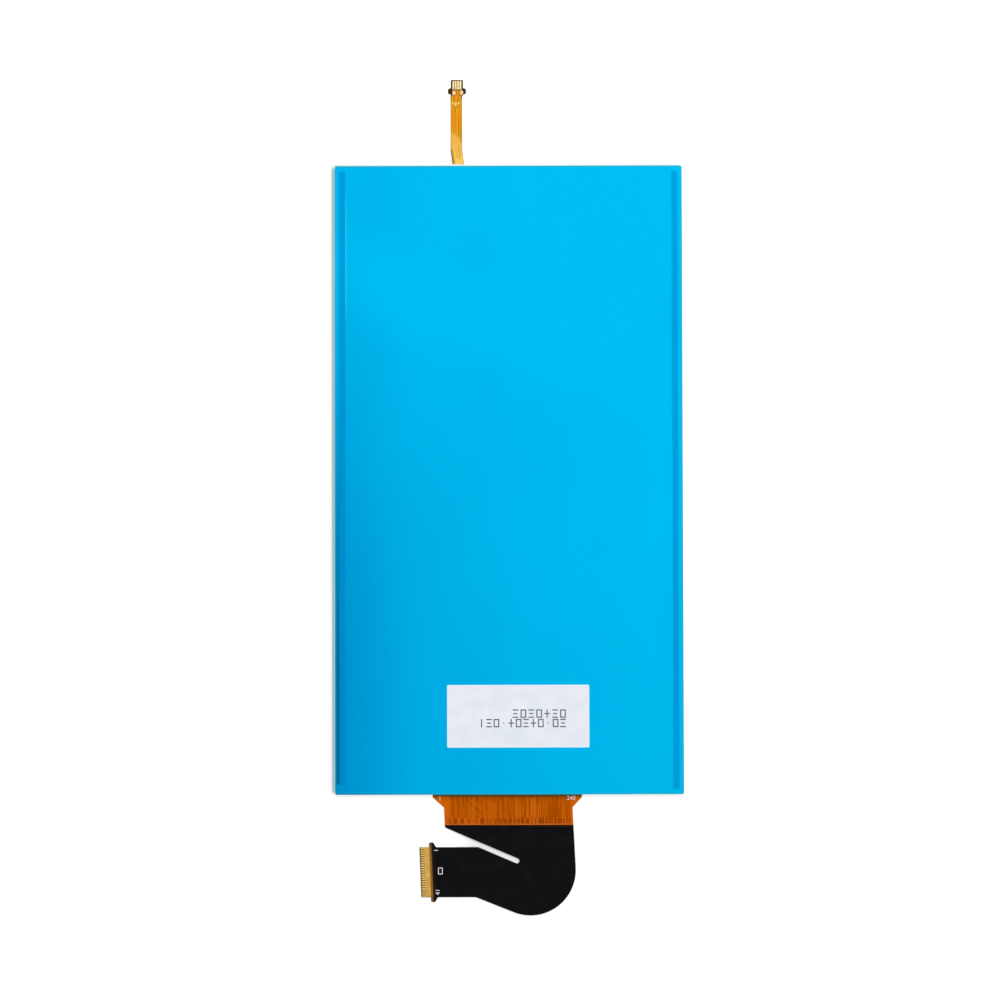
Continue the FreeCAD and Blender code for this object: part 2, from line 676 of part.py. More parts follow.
def make_display_flex():
    """Make the display flex, the stiffener under its contact end and the shield film over its lower part."""
    plate("display_flex", DISPLAY_FLEX_LEVEL, "display_flex_thickness", flex_outline())
    plate("flex_stiffener", f"{DISPLAY_FLEX_LEVEL} - stiffener_thickness", "stiffener_thickness", [
        Turn(*at_tip("stiffener_length", ARM_SIDE)),
        *contact_end(),
        Turn(*at_tip("stiffener_length", f"-{ARM_SIDE}")),
    ])
    shield = plate("flex_shield_film", FLEX_TOP_LEVEL, "shield_film_thickness", flex_outline())
    wide = "(flex_head_reach + cut_margin)"
    rise = f"{wide} * tan(shield_lean)"
    past_head = below_ledge("-bond_width - cut_margin")
    cut(shield, "orange_part", "shield_film_thickness", [[
        Turn(f"-{wide}", below_ledge(f"shield_drop - {rise}")),
        Turn(wide, below_ledge(f"shield_drop + {rise}")),
        Turn(wide, past_head),
        Turn(f"-{wide}", past_head),
    ]])
    high = f"({ARM_SIDE} + ear_height + cut_margin)"
    cut(shield, "contact_part", "shield_film_thickness", [[
        Turn(*at_tip("-cut_margin", f"-{high}")),
        Turn(*at_tip("shield_start", f"-{high}")),
        Turn(*at_tip("shield_start", high)),
        Turn(*at_tip("-cut_margin", high)),
    ]])


def make_contact_row(name, outline, count):
    """Make one row of contacts on the leaning contact end, from the first one's outline."""
    body = new_body(name, FLEX_TOP_LEVEL)
    body.setExpression("Placement.Base.x", formula("-arm_reach"))
    body.setExpression("Placement.Base.y", formula(below_ledge("arm_drop")))
    body.setExpression("Placement.Rotation.Angle", formula("contact_lean"))
    first = pad(body, "contact", "contact_thickness", [outline])
    repeat(body, [first], "V_Axis", "contact_pitch", count)


def make_display_contacts():
    """Make the outer contacts, each with its fine neck, and the inner ones that stand between the necks."""
    outer_start = "contact_inset"
    outer_end = "(contact_inset + outer_contact_length)"
    first = "(-contact_pitch * (outer_contact_count - 1) / 2)"
    wide = "outer_contact_width / 2"
    fine = "contact_neck_width / 2"
    make_contact_row("outer_contacts", [
        Turn(outer_start, f"{first} - {wide}"),
        Turn(outer_end, f"{first} - {wide}"),
        Turn(outer_end, f"{first} - {fine}"),
        Turn("ear_start", f"{first} - {fine}"),
        Turn("ear_start", f"{first} + {fine}"),
        Turn(outer_end, f"{first} + {fine}"),
        Turn(outer_end, f"{first} + {wide}"),
        Turn(outer_start, f"{first} + {wide}"),
    ], "outer_contact_count")
    second = f"({first} + contact_pitch / 2)"
    half = "inner_contact_width / 2"
    make_contact_row("inner_contacts", rectangle(
        f"{outer_end} + contact_row_gap", f"{second} - {half}", "ear_start", f"{second} + {half}"),
        "(outer_contact_count - 1)")


def check_model():
    """Stop if any object failed, any piece is empty or invalid, or any cut removed nothing."""
    for item in doc.Objects:
        if "Invalid" in item.State or "Error" in item.State:
            raise RuntimeError(f"{item.Name} did not build: {item.State}")
    for before, feature in cuts:
        if feature.Shape.Volume >= before.Shape.Volume:
            raise RuntimeError(f"{feature.Name} cuts nothing")
    for body in subparts:
        if body.Shape.isNull() or not body.Shape.isValid():
            raise RuntimeError(f"{body.Label} has no valid shape")


def write_parts():
    """Write each piece to its own file."""
    os.makedirs("parts", exist_ok=True)
    for body in subparts:
        body.Shape.exportStep(f"parts/{body.Label}.step")


make_glass_stack()
make_driver_chip()
make_light_shield_tape()
make_backlight_frame()
make_backlight_films()
make_leds()
make_backlight_flex()
make_tail_head_pieces()
make_rear_layers()
make_display_flex()
make_display_contacts()
doc.recompute()
check_model()
write_parts()
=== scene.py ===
"""A replacement LCD module lying face down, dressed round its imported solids."""

import logging
import math
from dataclasses import dataclass
from enum import Enum
from functools import cached_property

import bmesh
import bpy
from mathutils import Euler, Matrix, Vector
from mathutils.bvhtree import BVHTree

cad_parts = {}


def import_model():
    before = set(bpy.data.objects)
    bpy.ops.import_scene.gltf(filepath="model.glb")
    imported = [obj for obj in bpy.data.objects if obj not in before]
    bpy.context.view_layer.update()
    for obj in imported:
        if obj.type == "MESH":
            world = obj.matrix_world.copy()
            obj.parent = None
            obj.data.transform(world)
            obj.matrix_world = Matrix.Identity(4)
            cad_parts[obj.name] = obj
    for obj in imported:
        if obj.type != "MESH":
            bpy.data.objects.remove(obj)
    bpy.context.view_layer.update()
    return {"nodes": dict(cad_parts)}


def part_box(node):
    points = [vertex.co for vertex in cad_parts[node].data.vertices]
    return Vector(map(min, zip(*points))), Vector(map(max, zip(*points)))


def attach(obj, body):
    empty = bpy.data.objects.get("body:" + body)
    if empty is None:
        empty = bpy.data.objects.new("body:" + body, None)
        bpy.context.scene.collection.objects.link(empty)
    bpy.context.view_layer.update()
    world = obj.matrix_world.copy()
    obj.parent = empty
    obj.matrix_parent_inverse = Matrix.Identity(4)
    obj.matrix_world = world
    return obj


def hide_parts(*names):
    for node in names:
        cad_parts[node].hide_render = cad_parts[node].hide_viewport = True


LOG = logging.getLogger("lcd_module")
MM = 0.001

Screen = tuple[int, int, int]
Point = tuple[float, float]
Span = tuple[float, float]
Plan = tuple[float, float, float, float]
Stretch = tuple[float, float, float]
Strip = tuple[float, list[Point]]

EVERY_WAY: Stretch = (1.0, 1.0, 1.0)
FLAT: Stretch = (1.0, 1.0, 0.0)


def linear(colour: Screen) -> tuple[float, float, float, float]:
    """Return a shader's colour for a screen colour.

    Args:
        colour: Red, green and blue, from 0 to 255.

    Returns:
        The linear colour, with full opacity.
    """
    toe = 0.04045
    shares = [level / 255 for level in colour]
    red, green, blue = (s / 12.92 if s <= toe else ((s + 0.055) / 1.055) ** 2.4 for s in shares)
    return (red, green, blue, 1.0)


class Signal:
    """A number that a node gives, which can be used in plain sums."""

    def __init__(self, graph: "Graph", socket: bpy.types.NodeSocket) -> None:
        """Wrap a socket of a graph.

        Args:
            graph: The graph that the socket belongs to.
            socket: The output that gives the number.
        """
        self.graph = graph
        self.socket = socket

    def __add__(self, other: "Signal | float") -> "Signal":
        """Return the sum."""
        return self.graph.sum("ADD", self, other)

    def __sub__(self, other: "Signal | float") -> "Signal":
        """Return the difference."""
        return self.graph.sum("SUBTRACT", self, other)

    def __rsub__(self, other: float) -> "Signal":
        """Return the difference, taken from a plain number."""
        return self.graph.sum("SUBTRACT", other, self)

    def __mul__(self, other: "Signal | float") -> "Signal":
        """Return the product."""
        return self.graph.sum("MULTIPLY", self, other)

    def __truediv__(self, other: "Signal | float") -> "Signal":
        """Return the quotient."""
        return self.graph.sum("DIVIDE", self, other)

    __radd__ = __add__


class Graph:
    """The nodes of one material or world."""

    def __init__(self, owner: bpy.types.Material | bpy.types.World, ending: str) -> None:
        """Start an empty graph.

        Args:
            owner: The material or world that the nodes belong to.
            ending: The kind of its output node.
        """
        owner.use_nodes = True
        self.tree = owner.node_tree
        self.tree.nodes.clear()
        self.ending = self.tree.nodes.new(ending)

    def node(self, kind: str, settings: dict | None = None, inputs: dict | None = None) -> bpy.types.Node:
        """Add a node.

        Args:
            kind: The node's type.
            settings: Its own settings.
            inputs: What each socket is given, by name or number.

        Returns:
            The node.
        """
        node = self.tree.nodes.new(kind)
        for name, setting in (settings or {}).items():
            setattr(node, name, setting)
        for name, given in (inputs or {}).items():
            self.feed(node.inputs[name], given)
        return node

    def feed(self, socket: bpy.types.NodeSocket, given: object) -> None:
        """Link or set a socket.

        Args:
            socket: The input to fill.
            given: A signal or an output to link, a screen colour, or a plain value.
        """
        if isinstance(given, Signal):
            given = given.socket
        if isinstance(given, bpy.types.NodeSocket):
            self.tree.links.new(given, socket)
        else:
            socket.default_value = linear(given) if isinstance(given, tuple) else given

    def show(self, shader: bpy.types.Node) -> None:
        """Show a shader as the surface."""
        self.tree.links.new(shader.outputs[0], self.ending.inputs["Surface"])

    def surface(self, inputs: dict) -> None:
        """Add the shader of a surface and show it."""
        self.show(self.node("ShaderNodeBsdfPrincipled", inputs=inputs))

    def number(self, kind: str, settings: dict | None = None, inputs: dict | None = None) -> Signal:
        """Add a node and return the number that its first output gives."""
        return Signal(self, self.node(kind, settings, inputs).outputs[0])

    def sum(self, operation: str, first: Signal | float, second: Signal | float = 0.0) -> Signal:
        """Return the result of one sum on one or two numbers."""
        return self.number("ShaderNodeMath", {"operation": operation}, {0: first, 1: second})

    def step(self, value: Signal, low: float, high: float) -> Signal:
        """Return a smooth rise from 0 at low to 1 at high, or a fall where high is the smaller."""
        inputs = {"Value": value, "From Min": low, "From Max": high}
        return self.number("ShaderNodeMapRange", {"interpolation_type": "SMOOTHSTEP"}, inputs)

    def between(self, value: Signal, low: float, high: float, soft: float) -> Signal:
        """Return 1 between two limits and 0 outside them.

        Args:
            value: The number to test.
            low: The lower limit.
            high: The upper limit.
            soft: How wide the change is at each limit.

        Returns:
            The mask.
        """
        rise = self.step(value, low - soft / 2, low + soft / 2)
        return rise * self.step(value, high + soft / 2, high - soft / 2)

    def within(self, plan: Plan, soft: float, inset: float = 0.0) -> Signal:
        """Return 1 inside a rectangle in plan and 0 outside it.

        Args:
            plan: The rectangle's left, bottom, right and top.
            soft: How wide the change is.
            inset: How far inside the rectangle's edge the change lies.

        Returns:
            The mask.
        """
        x, y, _ = self.place
        left, bottom, right, top = plan
        across = self.between(x, left + inset, right - inset, soft)
        return across * self.between(y, bottom + inset, top - inset, soft)

    @cached_property
    def where(self) -> bpy.types.NodeSocket:
        """Give the place on the object as a vector, in millimetres."""
        own = self.node("ShaderNodeTexCoord").outputs["Object"]
        return self.node("ShaderNodeVectorMath", {"operation": "SCALE"}, {0: own, "Scale": 1 / MM}).outputs[0]

    @cached_property
    def place(self) -> tuple[Signal, Signal, Signal]:
        """Give the place on the object along X, Y and Z, in millimetres."""
        x, y, z = self.node("ShaderNodeSeparateXYZ", inputs={0: self.where}).outputs
        return Signal(self, x), Signal(self, y), Signal(self, z)

    def from_tip(self, tip: Point, lean: float) -> tuple[Signal, Signal]:
        """Return how far a place lies from a point, along and across a leaning direction.

        Args:
            tip: The point that is measured from, in millimetres.
            lean: How far the direction is turned from X, in radians.

        Returns:
            The distances along and across the direction, in millimetres.
        """
        x, y, _ = self.place
        cos, sin = math.cos(lean), math.sin(lean)
        east, north = x - tip[0], y - tip[1]
        return east * cos + north * sin, north * cos - east * sin

    def noise(
        self, scale: float, detail: float = 2.0, stretch: Stretch = EVERY_WAY, level: float = 0.0,
    ) -> Signal:
        """Return cloudy noise from 0 to 1, mostly near the middle.

        Args:
            scale: How many features there are in a millimetre.
            detail: How many finer layers are added.
            stretch: How much of each direction the noise follows.
            level: Where the noise is cut along Z, in millimetres.

        Returns:
            The noise.
        """
        inputs = {0: self.where, 1: Vector(stretch), 2: Vector((0.0, 0.0, level))}
        cut = self.node("ShaderNodeVectorMath", {"operation": "MULTIPLY_ADD"}, inputs).outputs[0]
        return self.number("ShaderNodeTexNoise", None, {"Vector": cut, "Scale": scale, "Detail": detail})

    def blend(self, share: Signal, low: object, high: object) -> bpy.types.NodeSocket:
        """Return a colour between two colours."""
        return self.node("ShaderNodeMix", {"data_type": "RGBA"}, {0: share, 6: low, 7: high}).outputs[2]

    def relief(self, height: Signal, depth: float) -> bpy.types.NodeSocket:
        """Return the normals of a surface with a relief whose depth is given in millimetres."""
        inputs = {"Height": height, "Distance": depth * MM, "Strength": 1.0}
        return self.node("ShaderNodeBump", inputs=inputs).outputs[0]

    def seen_by(self) -> Signal:
        """Tell the rays that look at a surface from the rays that only light it.

        Returns:
            1 or more for a ray from the camera, from gloss or from glass, and 0 for any other.
        """
        path = self.node("ShaderNodeLightPath").outputs
        kinds = ("Camera", "Glossy", "Transmission")
        camera, gloss, glass = (Signal(self, path[f"Is {kind} Ray"]) for kind in kinds)
        return camera + gloss + glass


@dataclass(frozen=True)
class Finish:
    """What every finish has."""

    name: str

    def material(self) -> bpy.types.Material:
        """Make a material with this finish.

        Returns:
            The material.
        """
        material = bpy.data.materials.new(self.name)
        self.dress(Graph(material, "ShaderNodeOutputMaterial"))
        return material

    def dress(self, graph: Graph) -> None:
        """Add the finish's own nodes.

        Args:
            graph: The empty graph of the material.
        """
        raise NotImplementedError


@dataclass(frozen=True)
class PlainSheet(Finish):
    """A sheet, moulding or coating of one material, with the slight unevenness of the real one."""

    colour: Screen
    shade: Screen
    roughness: float = 0.5
    metallic: float = 0.0
    specular: float = 0.5
    tint: Screen = (255, 255, 255)
    grain: float = 4.0
    depth: float = 0.002
    cloud: float = 0.15

    def dress(self, graph: Graph) -> None:
        """Mottle the colour softly, and give the surface a fine grain.

        Args:
            graph: The empty graph of the material.
        """
        cloud = graph.step(graph.noise(self.cloud), 0.35, 0.65)
        grain = graph.noise(self.grain, 3.0)
        graph.surface({
            "Base Color": graph.blend(cloud * 0.7 + grain * 0.3, self.colour, self.shade),
            "Roughness": self.roughness + (grain - 0.5) * 0.12,
            "Metallic": self.metallic,
            "Specular IOR Level": self.specular,
            "Specular Tint": self.tint,
            "Normal": graph.relief(grain, self.depth),
        })


@dataclass(frozen=True)
class CopperUnderFilm(PlainSheet):
    """Copper, or a gap in it, that shows through a coloured film; also a bright line along a film's edge."""

    roughness: float = 0.4
    specular: float = 0.3
    grain: float = 8.0


@dataclass(frozen=True)
class FramePlastic(Finish):
    """White moulded plastic, with painted shade along its left wall and painted cyan light where the film's
    colour falls on it.
    """

    film_left: float
    white: Screen = (244, 249, 250)
    off_white: Screen = (232, 239, 240)
    painted_shade: Screen = (180, 187, 182)
    painted_film_light: Screen = (204, 222, 226)
    painted_shade_width: float = 0.62
    film_light_width: float = 0.45
    wall_end: Span = (66.0, 65.2)

    def dress(self, graph: Graph) -> None:
        """Mottle the plastic, and paint shade and the film's cyan light on its left wall.

        Args:
            graph: The empty graph of the material.
        """
        x, y, _ = graph.place
        grain = graph.noise(4.0, 3.0)
        plain = graph.blend(graph.step(grain, 0.3, 0.7), self.white, self.off_white)
        fade = 0.2
        # Painted shade along the left wall, turning to painted cyan light from the film near the film's edge,
        # but not at the top end.
        tint = graph.step(x, self.film_left - self.film_light_width, self.film_left - fade)
        wall = graph.blend(tint, self.painted_shade, self.painted_film_light)
        left = graph.between(x, self.film_left - self.painted_shade_width, self.film_left + fade, fade)
        graph.surface({
            "Base Color": graph.blend(left * graph.step(y, *self.wall_end), plain, wall),
            "Roughness": 0.5 + (grain - 0.5) * 0.12,
            "Specular IOR Level": 0.3,
            "Normal": graph.relief(grain, 0.002),
        })


@dataclass(frozen=True)
class ProtectiveFilm(Finish):
    """Cyan plastic film, darker where the adhesive strips show through."""

    strips: tuple[Plan, ...]
    outline: Plan
    light: Screen = (0, 192, 247)
    dark: Screen = (0, 143, 209)
    strip_painted_lit: Screen = (0, 160, 226)
    strip_painted_shade: Screen = (0, 135, 200)
    outer_dark: Screen = (0, 106, 160)
    glint: Screen = (40, 210, 255)
    edge_painted_lit: Screen = (34, 182, 212)
    edge_painted_shade: Screen = (22, 128, 166)
    gloss: Screen = (0, 225, 255)
    rim: float = 0.28
    outer_fall: Span = (30.0, -50.0)
    glint_rows: Span = (35.0, 58.0)

    def dress(self, graph: Graph) -> None:
        """Lay the painted light and shade of a slightly wavy film, then its strips and its edge.

        Args:
            graph: The empty graph of the material.
        """
        x, y, _ = graph.place
        light_and_mottle = self._painted_light_and_mottle(graph)
        # light is the cyan lit and dark is the cyan in painted shade; the strips and the edge have such lit
        # and shaded copies too.
        film = graph.blend(light_and_mottle, self.dark, self.light)
        _, low, right, high = self.strips[0]
        outer = graph.step(x, right - 0.9, right - 1.3) * graph.between(y, low, high, 0.4)
        film = graph.blend(outer * graph.step(y, *self.outer_fall), film, self.outer_dark)
        glint = graph.between(x, right + 0.05, right + 0.3, 0.15) * graph.between(y, *self.glint_rows, 6.0)
        film = graph.blend(glint * 0.7, film, self.glint)
        strip = graph.blend(light_and_mottle, self.strip_painted_shade, self.strip_painted_lit)
        edge = graph.blend(light_and_mottle, self.edge_painted_shade, self.edge_painted_lit)
        inside = graph.within(self.outline, self.rim, self.rim)
        colour = graph.blend(inside, edge, graph.blend(self._on_strips(graph, 0.16), film, strip))
        wave = graph.noise(0.03, 1.0, (1.0, 0.6, 0.0))
        grain = graph.noise(1.6, 2.0, FLAT)
        shoulder = self._on_strips(graph, 0.5)
        graph.surface({
            "Base Color": colour,
            "Roughness": 0.34 + (grain - 0.5) * 0.06,
            "Specular IOR Level": 0.5,
            "Specular Tint": self.gloss,
            "Normal": graph.relief(wave * 6.0 + grain * 0.03 + shoulder * 0.5, 0.05),
        })

    @staticmethod
    def _painted_light_and_mottle(graph: Graph) -> Signal:
        """Return the film's painted light: painted shade towards its lower left and a painted highlight on a
        slanting streak, with a cloudy mottle.

        Args:
            graph: The graph of the material.

        Returns:
            The painted light, from 0 for shaded to 1 for lit.
        """
        x, y, _ = graph.place
        # Painted shade towards the lower left, and a painted highlight on the slanting streak.
        lower = graph.step(y, 70.0, -55.0)
        near = graph.step(x, -16.0, -37.0) * (lower * 0.34 + 0.1)
        shade = near + graph.step(x, 24.0, -34.0) * (lower * 0.26 + 0.06) + lower * 0.08
        streak = graph.between(y + x * 0.38, 24.0, 39.0, 14.0)
        fade = graph.step(x, 40.0, -34.0) * 0.8 + 0.2
        wave = graph.noise(0.045, 2.0, (1.0, 0.5, 0.0))
        fine = graph.noise(0.5, 3.0, FLAT, 3.0)
        return 0.96 - shade + streak * fade * 0.16 + (wave - 0.5) * 0.28 + (fine - 0.5) * 0.05

    def _on_strips(self, graph: Graph, soft: float) -> Signal:
        """Return 1 over the adhesive strips and 0 elsewhere.

        Args:
            graph: The graph of the material.
            soft: How wide the change is at a strip's edge, in millimetres.

        Returns:
            The mask.
        """
        left, right = (graph.within(strip, soft) for strip in self.strips)
        return left + right


@dataclass(frozen=True)
class LabelPaper(Finish):
    """Coated white paper with a painted highlight along its edge."""

    outline: Plan
    paper: Screen = (241, 244, 253)
    shade: Screen = (229, 236, 244)
    edge: Screen = (236, 251, 255)
    rim: float = 0.2

    def dress(self, graph: Graph) -> None:
        """Mottle the paper and paint a highlight along its edge.

        Args:
            graph: The empty graph of the material.
        """
        cloud = graph.step(graph.noise(0.25, 4.0, FLAT), 0.35, 0.7)
        fibre = graph.noise(2.5, 3.0, (1.0, 3.0, 0.0))
        paper = graph.blend(cloud * 0.7 + fibre * 0.3, self.paper, self.shade)
        graph.surface({
            # The edge colour is a painted highlight round the label's rim.
            "Base Color": graph.blend(graph.within(self.outline, self.rim, self.rim), self.edge, paper),
            "Roughness": 0.55 + (fibre - 0.5) * 0.1,
            "Specular IOR Level": 0.3,
            "Normal": graph.relief(fibre, 0.004),
        })


@dataclass(frozen=True)
class OrangeFlex(Finish):
    """Orange coverlay over copper, with bare amber film between the contacts at its end."""

    tip: Point
    lean: float
    coverlay: Screen = (196, 91, 4)
    deep: Screen = (166, 74, 0)
    edge: Screen = (212, 98, 6)
    gap: Screen = (148, 62, 2)
    brink: Screen = (44, 20, 8)
    film_edge_shadow: Screen = (92, 88, 48)
    rim: Screen = (128, 96, 42)
    bare: Screen = (98, 68, 6)
    plated: Screen = (188, 140, 50)
    brown: Screen = (120, 82, 34)
    tooth: Screen = (156, 112, 48)
    ear: Screen = (104, 76, 60)
    gloss: Screen = (255, 140, 0)
    neck: Span = (-13.2, 13.7)
    gap_row: Span = (-72.35, -71.2)
    shield_line: Span = (-72.5, -72.6)
    film_line: Span = (-66.75, -66.4)
    arm_from: Span = (-76.0, -75.0)
    rim_end: Span = (0.12, 0.24)
    bare_end: Span = (0.86, 0.96)
    plated_end: Span = (2.0, 2.12)
    tooth_row: Span = (2.05, 2.42)
    half_width: float = 5.25
    pitch: float = 0.5

    def dress(self, graph: Graph) -> None:
        """Colour the head of the flex and its contact end.

        Args:
            graph: The empty graph of the material.
        """
        columns = graph.noise(1.5, 3.0, (1.0, 0.06, 0.0))
        grain = graph.noise(3.0, 2.0)
        in_head = graph.step(graph.place[1], *self.arm_from)
        graph.surface({
            "Base Color": graph.blend(in_head, self._end(graph), self._head(graph, columns)),
            "Roughness": 0.42 + (grain - 0.5) * 0.1,
            "Specular IOR Level": 0.3,
            "Specular Tint": self.gloss,
            "Normal": graph.relief(columns * 0.6 + grain * 0.4, 0.01),
        })

    def _head(self, graph: Graph, columns: Signal) -> bpy.types.NodeSocket:
        """Return the colour of the coverlay, brighter along its sides and darker below, with painted shadow
        along the film's edge and at the shield.

        Args:
            graph: The graph of the material.
            columns: The faint upright streaks.

        Returns:
            The colour.
        """
        x, y, _ = graph.place
        left, right = self.neck
        coverlay = graph.blend(graph.step(columns, 0.4, 0.6), self.deep, self.coverlay)
        coverlay = graph.blend(graph.between(x, left + 1.3, right - 0.6, 1.4), self.edge, coverlay)
        lower = graph.between(y, *self.gap_row, 0.3) * graph.between(x, left + 0.6, right - 0.3, 0.4)
        broken = graph.step(graph.noise(0.9, 3.0, (1.0, 0.3, 0.0), 7.0), 0.38, 0.55)
        coverlay = graph.blend(lower * broken * 0.85, coverlay, self.gap)
        # Painted shadow where the coverlay meets the black shield.
        coverlay = graph.blend(graph.step(y, *self.shield_line), coverlay, self.brink)
        # Painted shadow cast by the protective film's edge along the top of the coverlay.
        return graph.blend(graph.step(y, *self.film_line), coverlay, self.film_edge_shadow)

    def _end(self, graph: Graph) -> bpy.types.NodeSocket:
        """Return the colour of the film at the contacts, from the leaning tip inwards.

        Args:
            graph: The graph of the material.

        Returns:
            The colour.
        """
        along, across = graph.from_tip(self.tip, self.lean)
        row = graph.sum("FRACT", across / self.pitch + 100.0)
        teeth = graph.between(row, 0.25, 0.75, 0.25) * graph.between(along, *self.tooth_row, 0.1)
        colour = graph.blend(graph.step(along, *self.rim_end), self.rim, self.bare)
        colour = graph.blend(graph.step(along, *self.bare_end), colour, self.plated)
        strip = graph.blend(teeth, self.brown, self.tooth)
        colour = graph.blend(graph.step(along, *self.plated_end), colour, strip)
        return graph.blend(graph.between(across, -self.half_width, self.half_width, 0.1), self.ear, colour)


@dataclass(frozen=True)
class BlackShield(Finish):
    """Matt black shield film, which shows the copper under it as a faint relief."""

    tip: Point
    lean: float
    black: Screen = (3, 3, 6)
    worn: Screen = (10, 10, 14)
    brown: Screen = (38, 24, 14)
    arm_right: Span = (0.0, -8.0)
    arm_top: Span = (-74.0, -78.0)
    right_edge: Span = (8.62, 8.8)
    right_low: Span = (-84.0, -79.0)
    brown_end: Span = (3.2, 2.5)

    def dress(self, graph: Graph) -> None:
        """Colour the film and press the copper through it.

        Args:
            graph: The empty graph of the material.
        """
        x, y, _ = graph.place
        along, _ = graph.from_tip(self.tip, self.lean)
        columns = graph.noise(1.7, 2.0, (1.0, 0.08, 0.0))
        rows = graph.noise(1.7, 2.0, (0.08, 1.0, 0.0))
        arm = graph.step(x, *self.arm_right) * graph.step(y, *self.arm_top)
        lines = columns * (1 - arm) + rows * arm
        grain = graph.noise(9.0, 2.0)
        black = graph.blend(graph.step(graph.noise(0.35, 4.0, FLAT), 0.45, 0.75), self.black, self.worn)
        right_side = graph.step(x + y * 0.07, *self.right_edge) * graph.step(y, *self.right_low)
        black = graph.blend(right_side * 0.8, black, self.brown)
        graph.surface({
            "Base Color": graph.blend(graph.step(along, *self.brown_end), black, self.brown),
            "Roughness": 0.6 + (grain - 0.5) * 0.15,
            "Specular IOR Level": 0.08,
            "Normal": graph.relief(lines * 0.5 + grain * 0.2, 0.02),
        })


@dataclass(frozen=True)
class AmberFlex(Finish):
    """Amber film of the backlight tail, dark round its contacts, with painted light on its slope and painted
    shade at its bend.
    """

    head_low: float
    contacts_low: float
    middle: float
    slope: Span
    amber: Screen = (224, 150, 36)
    deep: Screen = (226, 138, 20)
    painted_slope_light: Screen = (240, 180, 84)
    lit: Screen = (248, 200, 92)
    edge: Screen = (186, 146, 40)
    olive: Screen = (184, 142, 4)
    painted_shade: Screen = (132, 94, 48)
    border: Screen = (32, 28, 14)
    bare: Screen = (78, 60, 14)
    laid: Screen = (176, 118, 32)
    gloss: Screen = (255, 190, 40)
    width: float = 2.42
    centre: float = -10.39
    window: float = 1.02
    tip_line: Span = (84.22, 84.1)

    def dress(self, graph: Graph) -> None:
        """Colour the tail from its head down to the module.

        Args:
            graph: The empty graph of the material.
        """
        streak = graph.step(graph.noise(1.6, 2.0, (1.0, 0.08, 0.0)), 0.35, 0.65)
        grain = graph.noise(4.0, 2.0)
        in_head = graph.step(graph.place[1], self.head_low - 0.12, self.head_low + 0.12)
        graph.surface({
            "Base Color": graph.blend(in_head, self._ribbon(graph, streak), self._head(graph)),
            "Roughness": 0.36 + (grain - 0.5) * 0.1,
            "Specular IOR Level": 0.4,
            "Specular Tint": self.gloss,
            "Normal": graph.relief(streak * 0.7 + grain * 0.3, 0.008),
        })

    def _ribbon(self, graph: Graph, streak: Signal) -> bpy.types.NodeSocket:
        """Return the colour of the ribbon, with painted light on its slope, its edges and painted shade at
        the bend.

        Args:
            graph: The graph of the material.
            streak: The faint streaks along the ribbon.

        Returns:
            The colour.
        """
        x, y, _ = graph.place
        low, high = self.slope
        stretch = graph.between(y, high + 1.5, self.head_low - 3.4, 1.2)
        ribbon = graph.blend(stretch * (0.35 + streak * 0.65), self.amber, self.deep)
        # Painted light on the slope that rises to the module, brightest near it.
        painted_slope_light = graph.blend(graph.step(y, high - 1.0, low + 1.2), self.painted_slope_light, self.lit)
        ribbon = graph.blend(graph.step(y + x * 0.9, high - 8.4, high - 9.6), ribbon, painted_slope_light)
        reach = self.width / 2
        offset = x - self.centre - graph.step(y, low + 3.2, low + 0.2) * 0.38
        # Painted shade on the left edge and side below the bend, where the ribbon jogs.
        bend = graph.step(y, low + 3.6, low + 2.6)
        side = graph.blend(bend * graph.step(offset, 0.2, -0.2), self.edge, self.painted_shade)
        side = graph.blend(graph.step(y, self.head_low - 1.3, self.head_low - 0.5), side, self.border)
        ribbon = graph.blend(graph.between(offset, 0.16 - reach, reach - 0.16, 0.2), side, ribbon)
        olive = graph.step(offset, reach - 0.5, reach - 0.25) * graph.between(y, high - 1.1, high + 1.9, 0.6)
        ribbon = graph.blend(olive, ribbon, self.olive)
        shade = graph.step(offset, 0.75 - reach, 0.2 - reach) * bend
        return graph.blend(shade * 0.75, ribbon, self.painted_shade)

    def _head(self, graph: Graph) -> bpy.types.NodeSocket:
        """Return the colour of the dark head, with the bare film that shows between its contacts.

        Args:
            graph: The graph of the material.

        Returns:
            The colour.
        """
        x, y, _ = graph.place
        window = graph.between(x, self.middle - self.window, self.middle + self.window, 0.12)
        below = graph.step(y, self.contacts_low - 0.05, self.contacts_low - 0.3)
        bare = graph.blend(below, self.bare, self.laid)
        return graph.blend(window * graph.step(y, *self.tip_line), self.border, bare)


@dataclass(frozen=True)
class DisplayFace(Finish):
    """Polarizer over the dark picture area and its black border."""

    picture: Plan
    picture_colour: Screen = (26, 28, 33)
    border: Screen = (7, 7, 8)

    def dress(self, graph: Graph) -> None:
        """Show the picture area inside its border.

        Args:
            graph: The empty graph of the material.
        """
        inside = graph.within(self.picture, 0.04)
        haze = graph.noise(0.08, 3.0, FLAT)
        graph.surface({
            "Base Color": graph.blend(inside, self.border, self.picture_colour),
            "Roughness": 0.1 + haze * 0.08,
            "Specular IOR Level": 0.5,
            "Coat Weight": inside * 0.4,
            "Coat Roughness": 0.05,
            "Normal": graph.relief(haze, 0.01),
        })


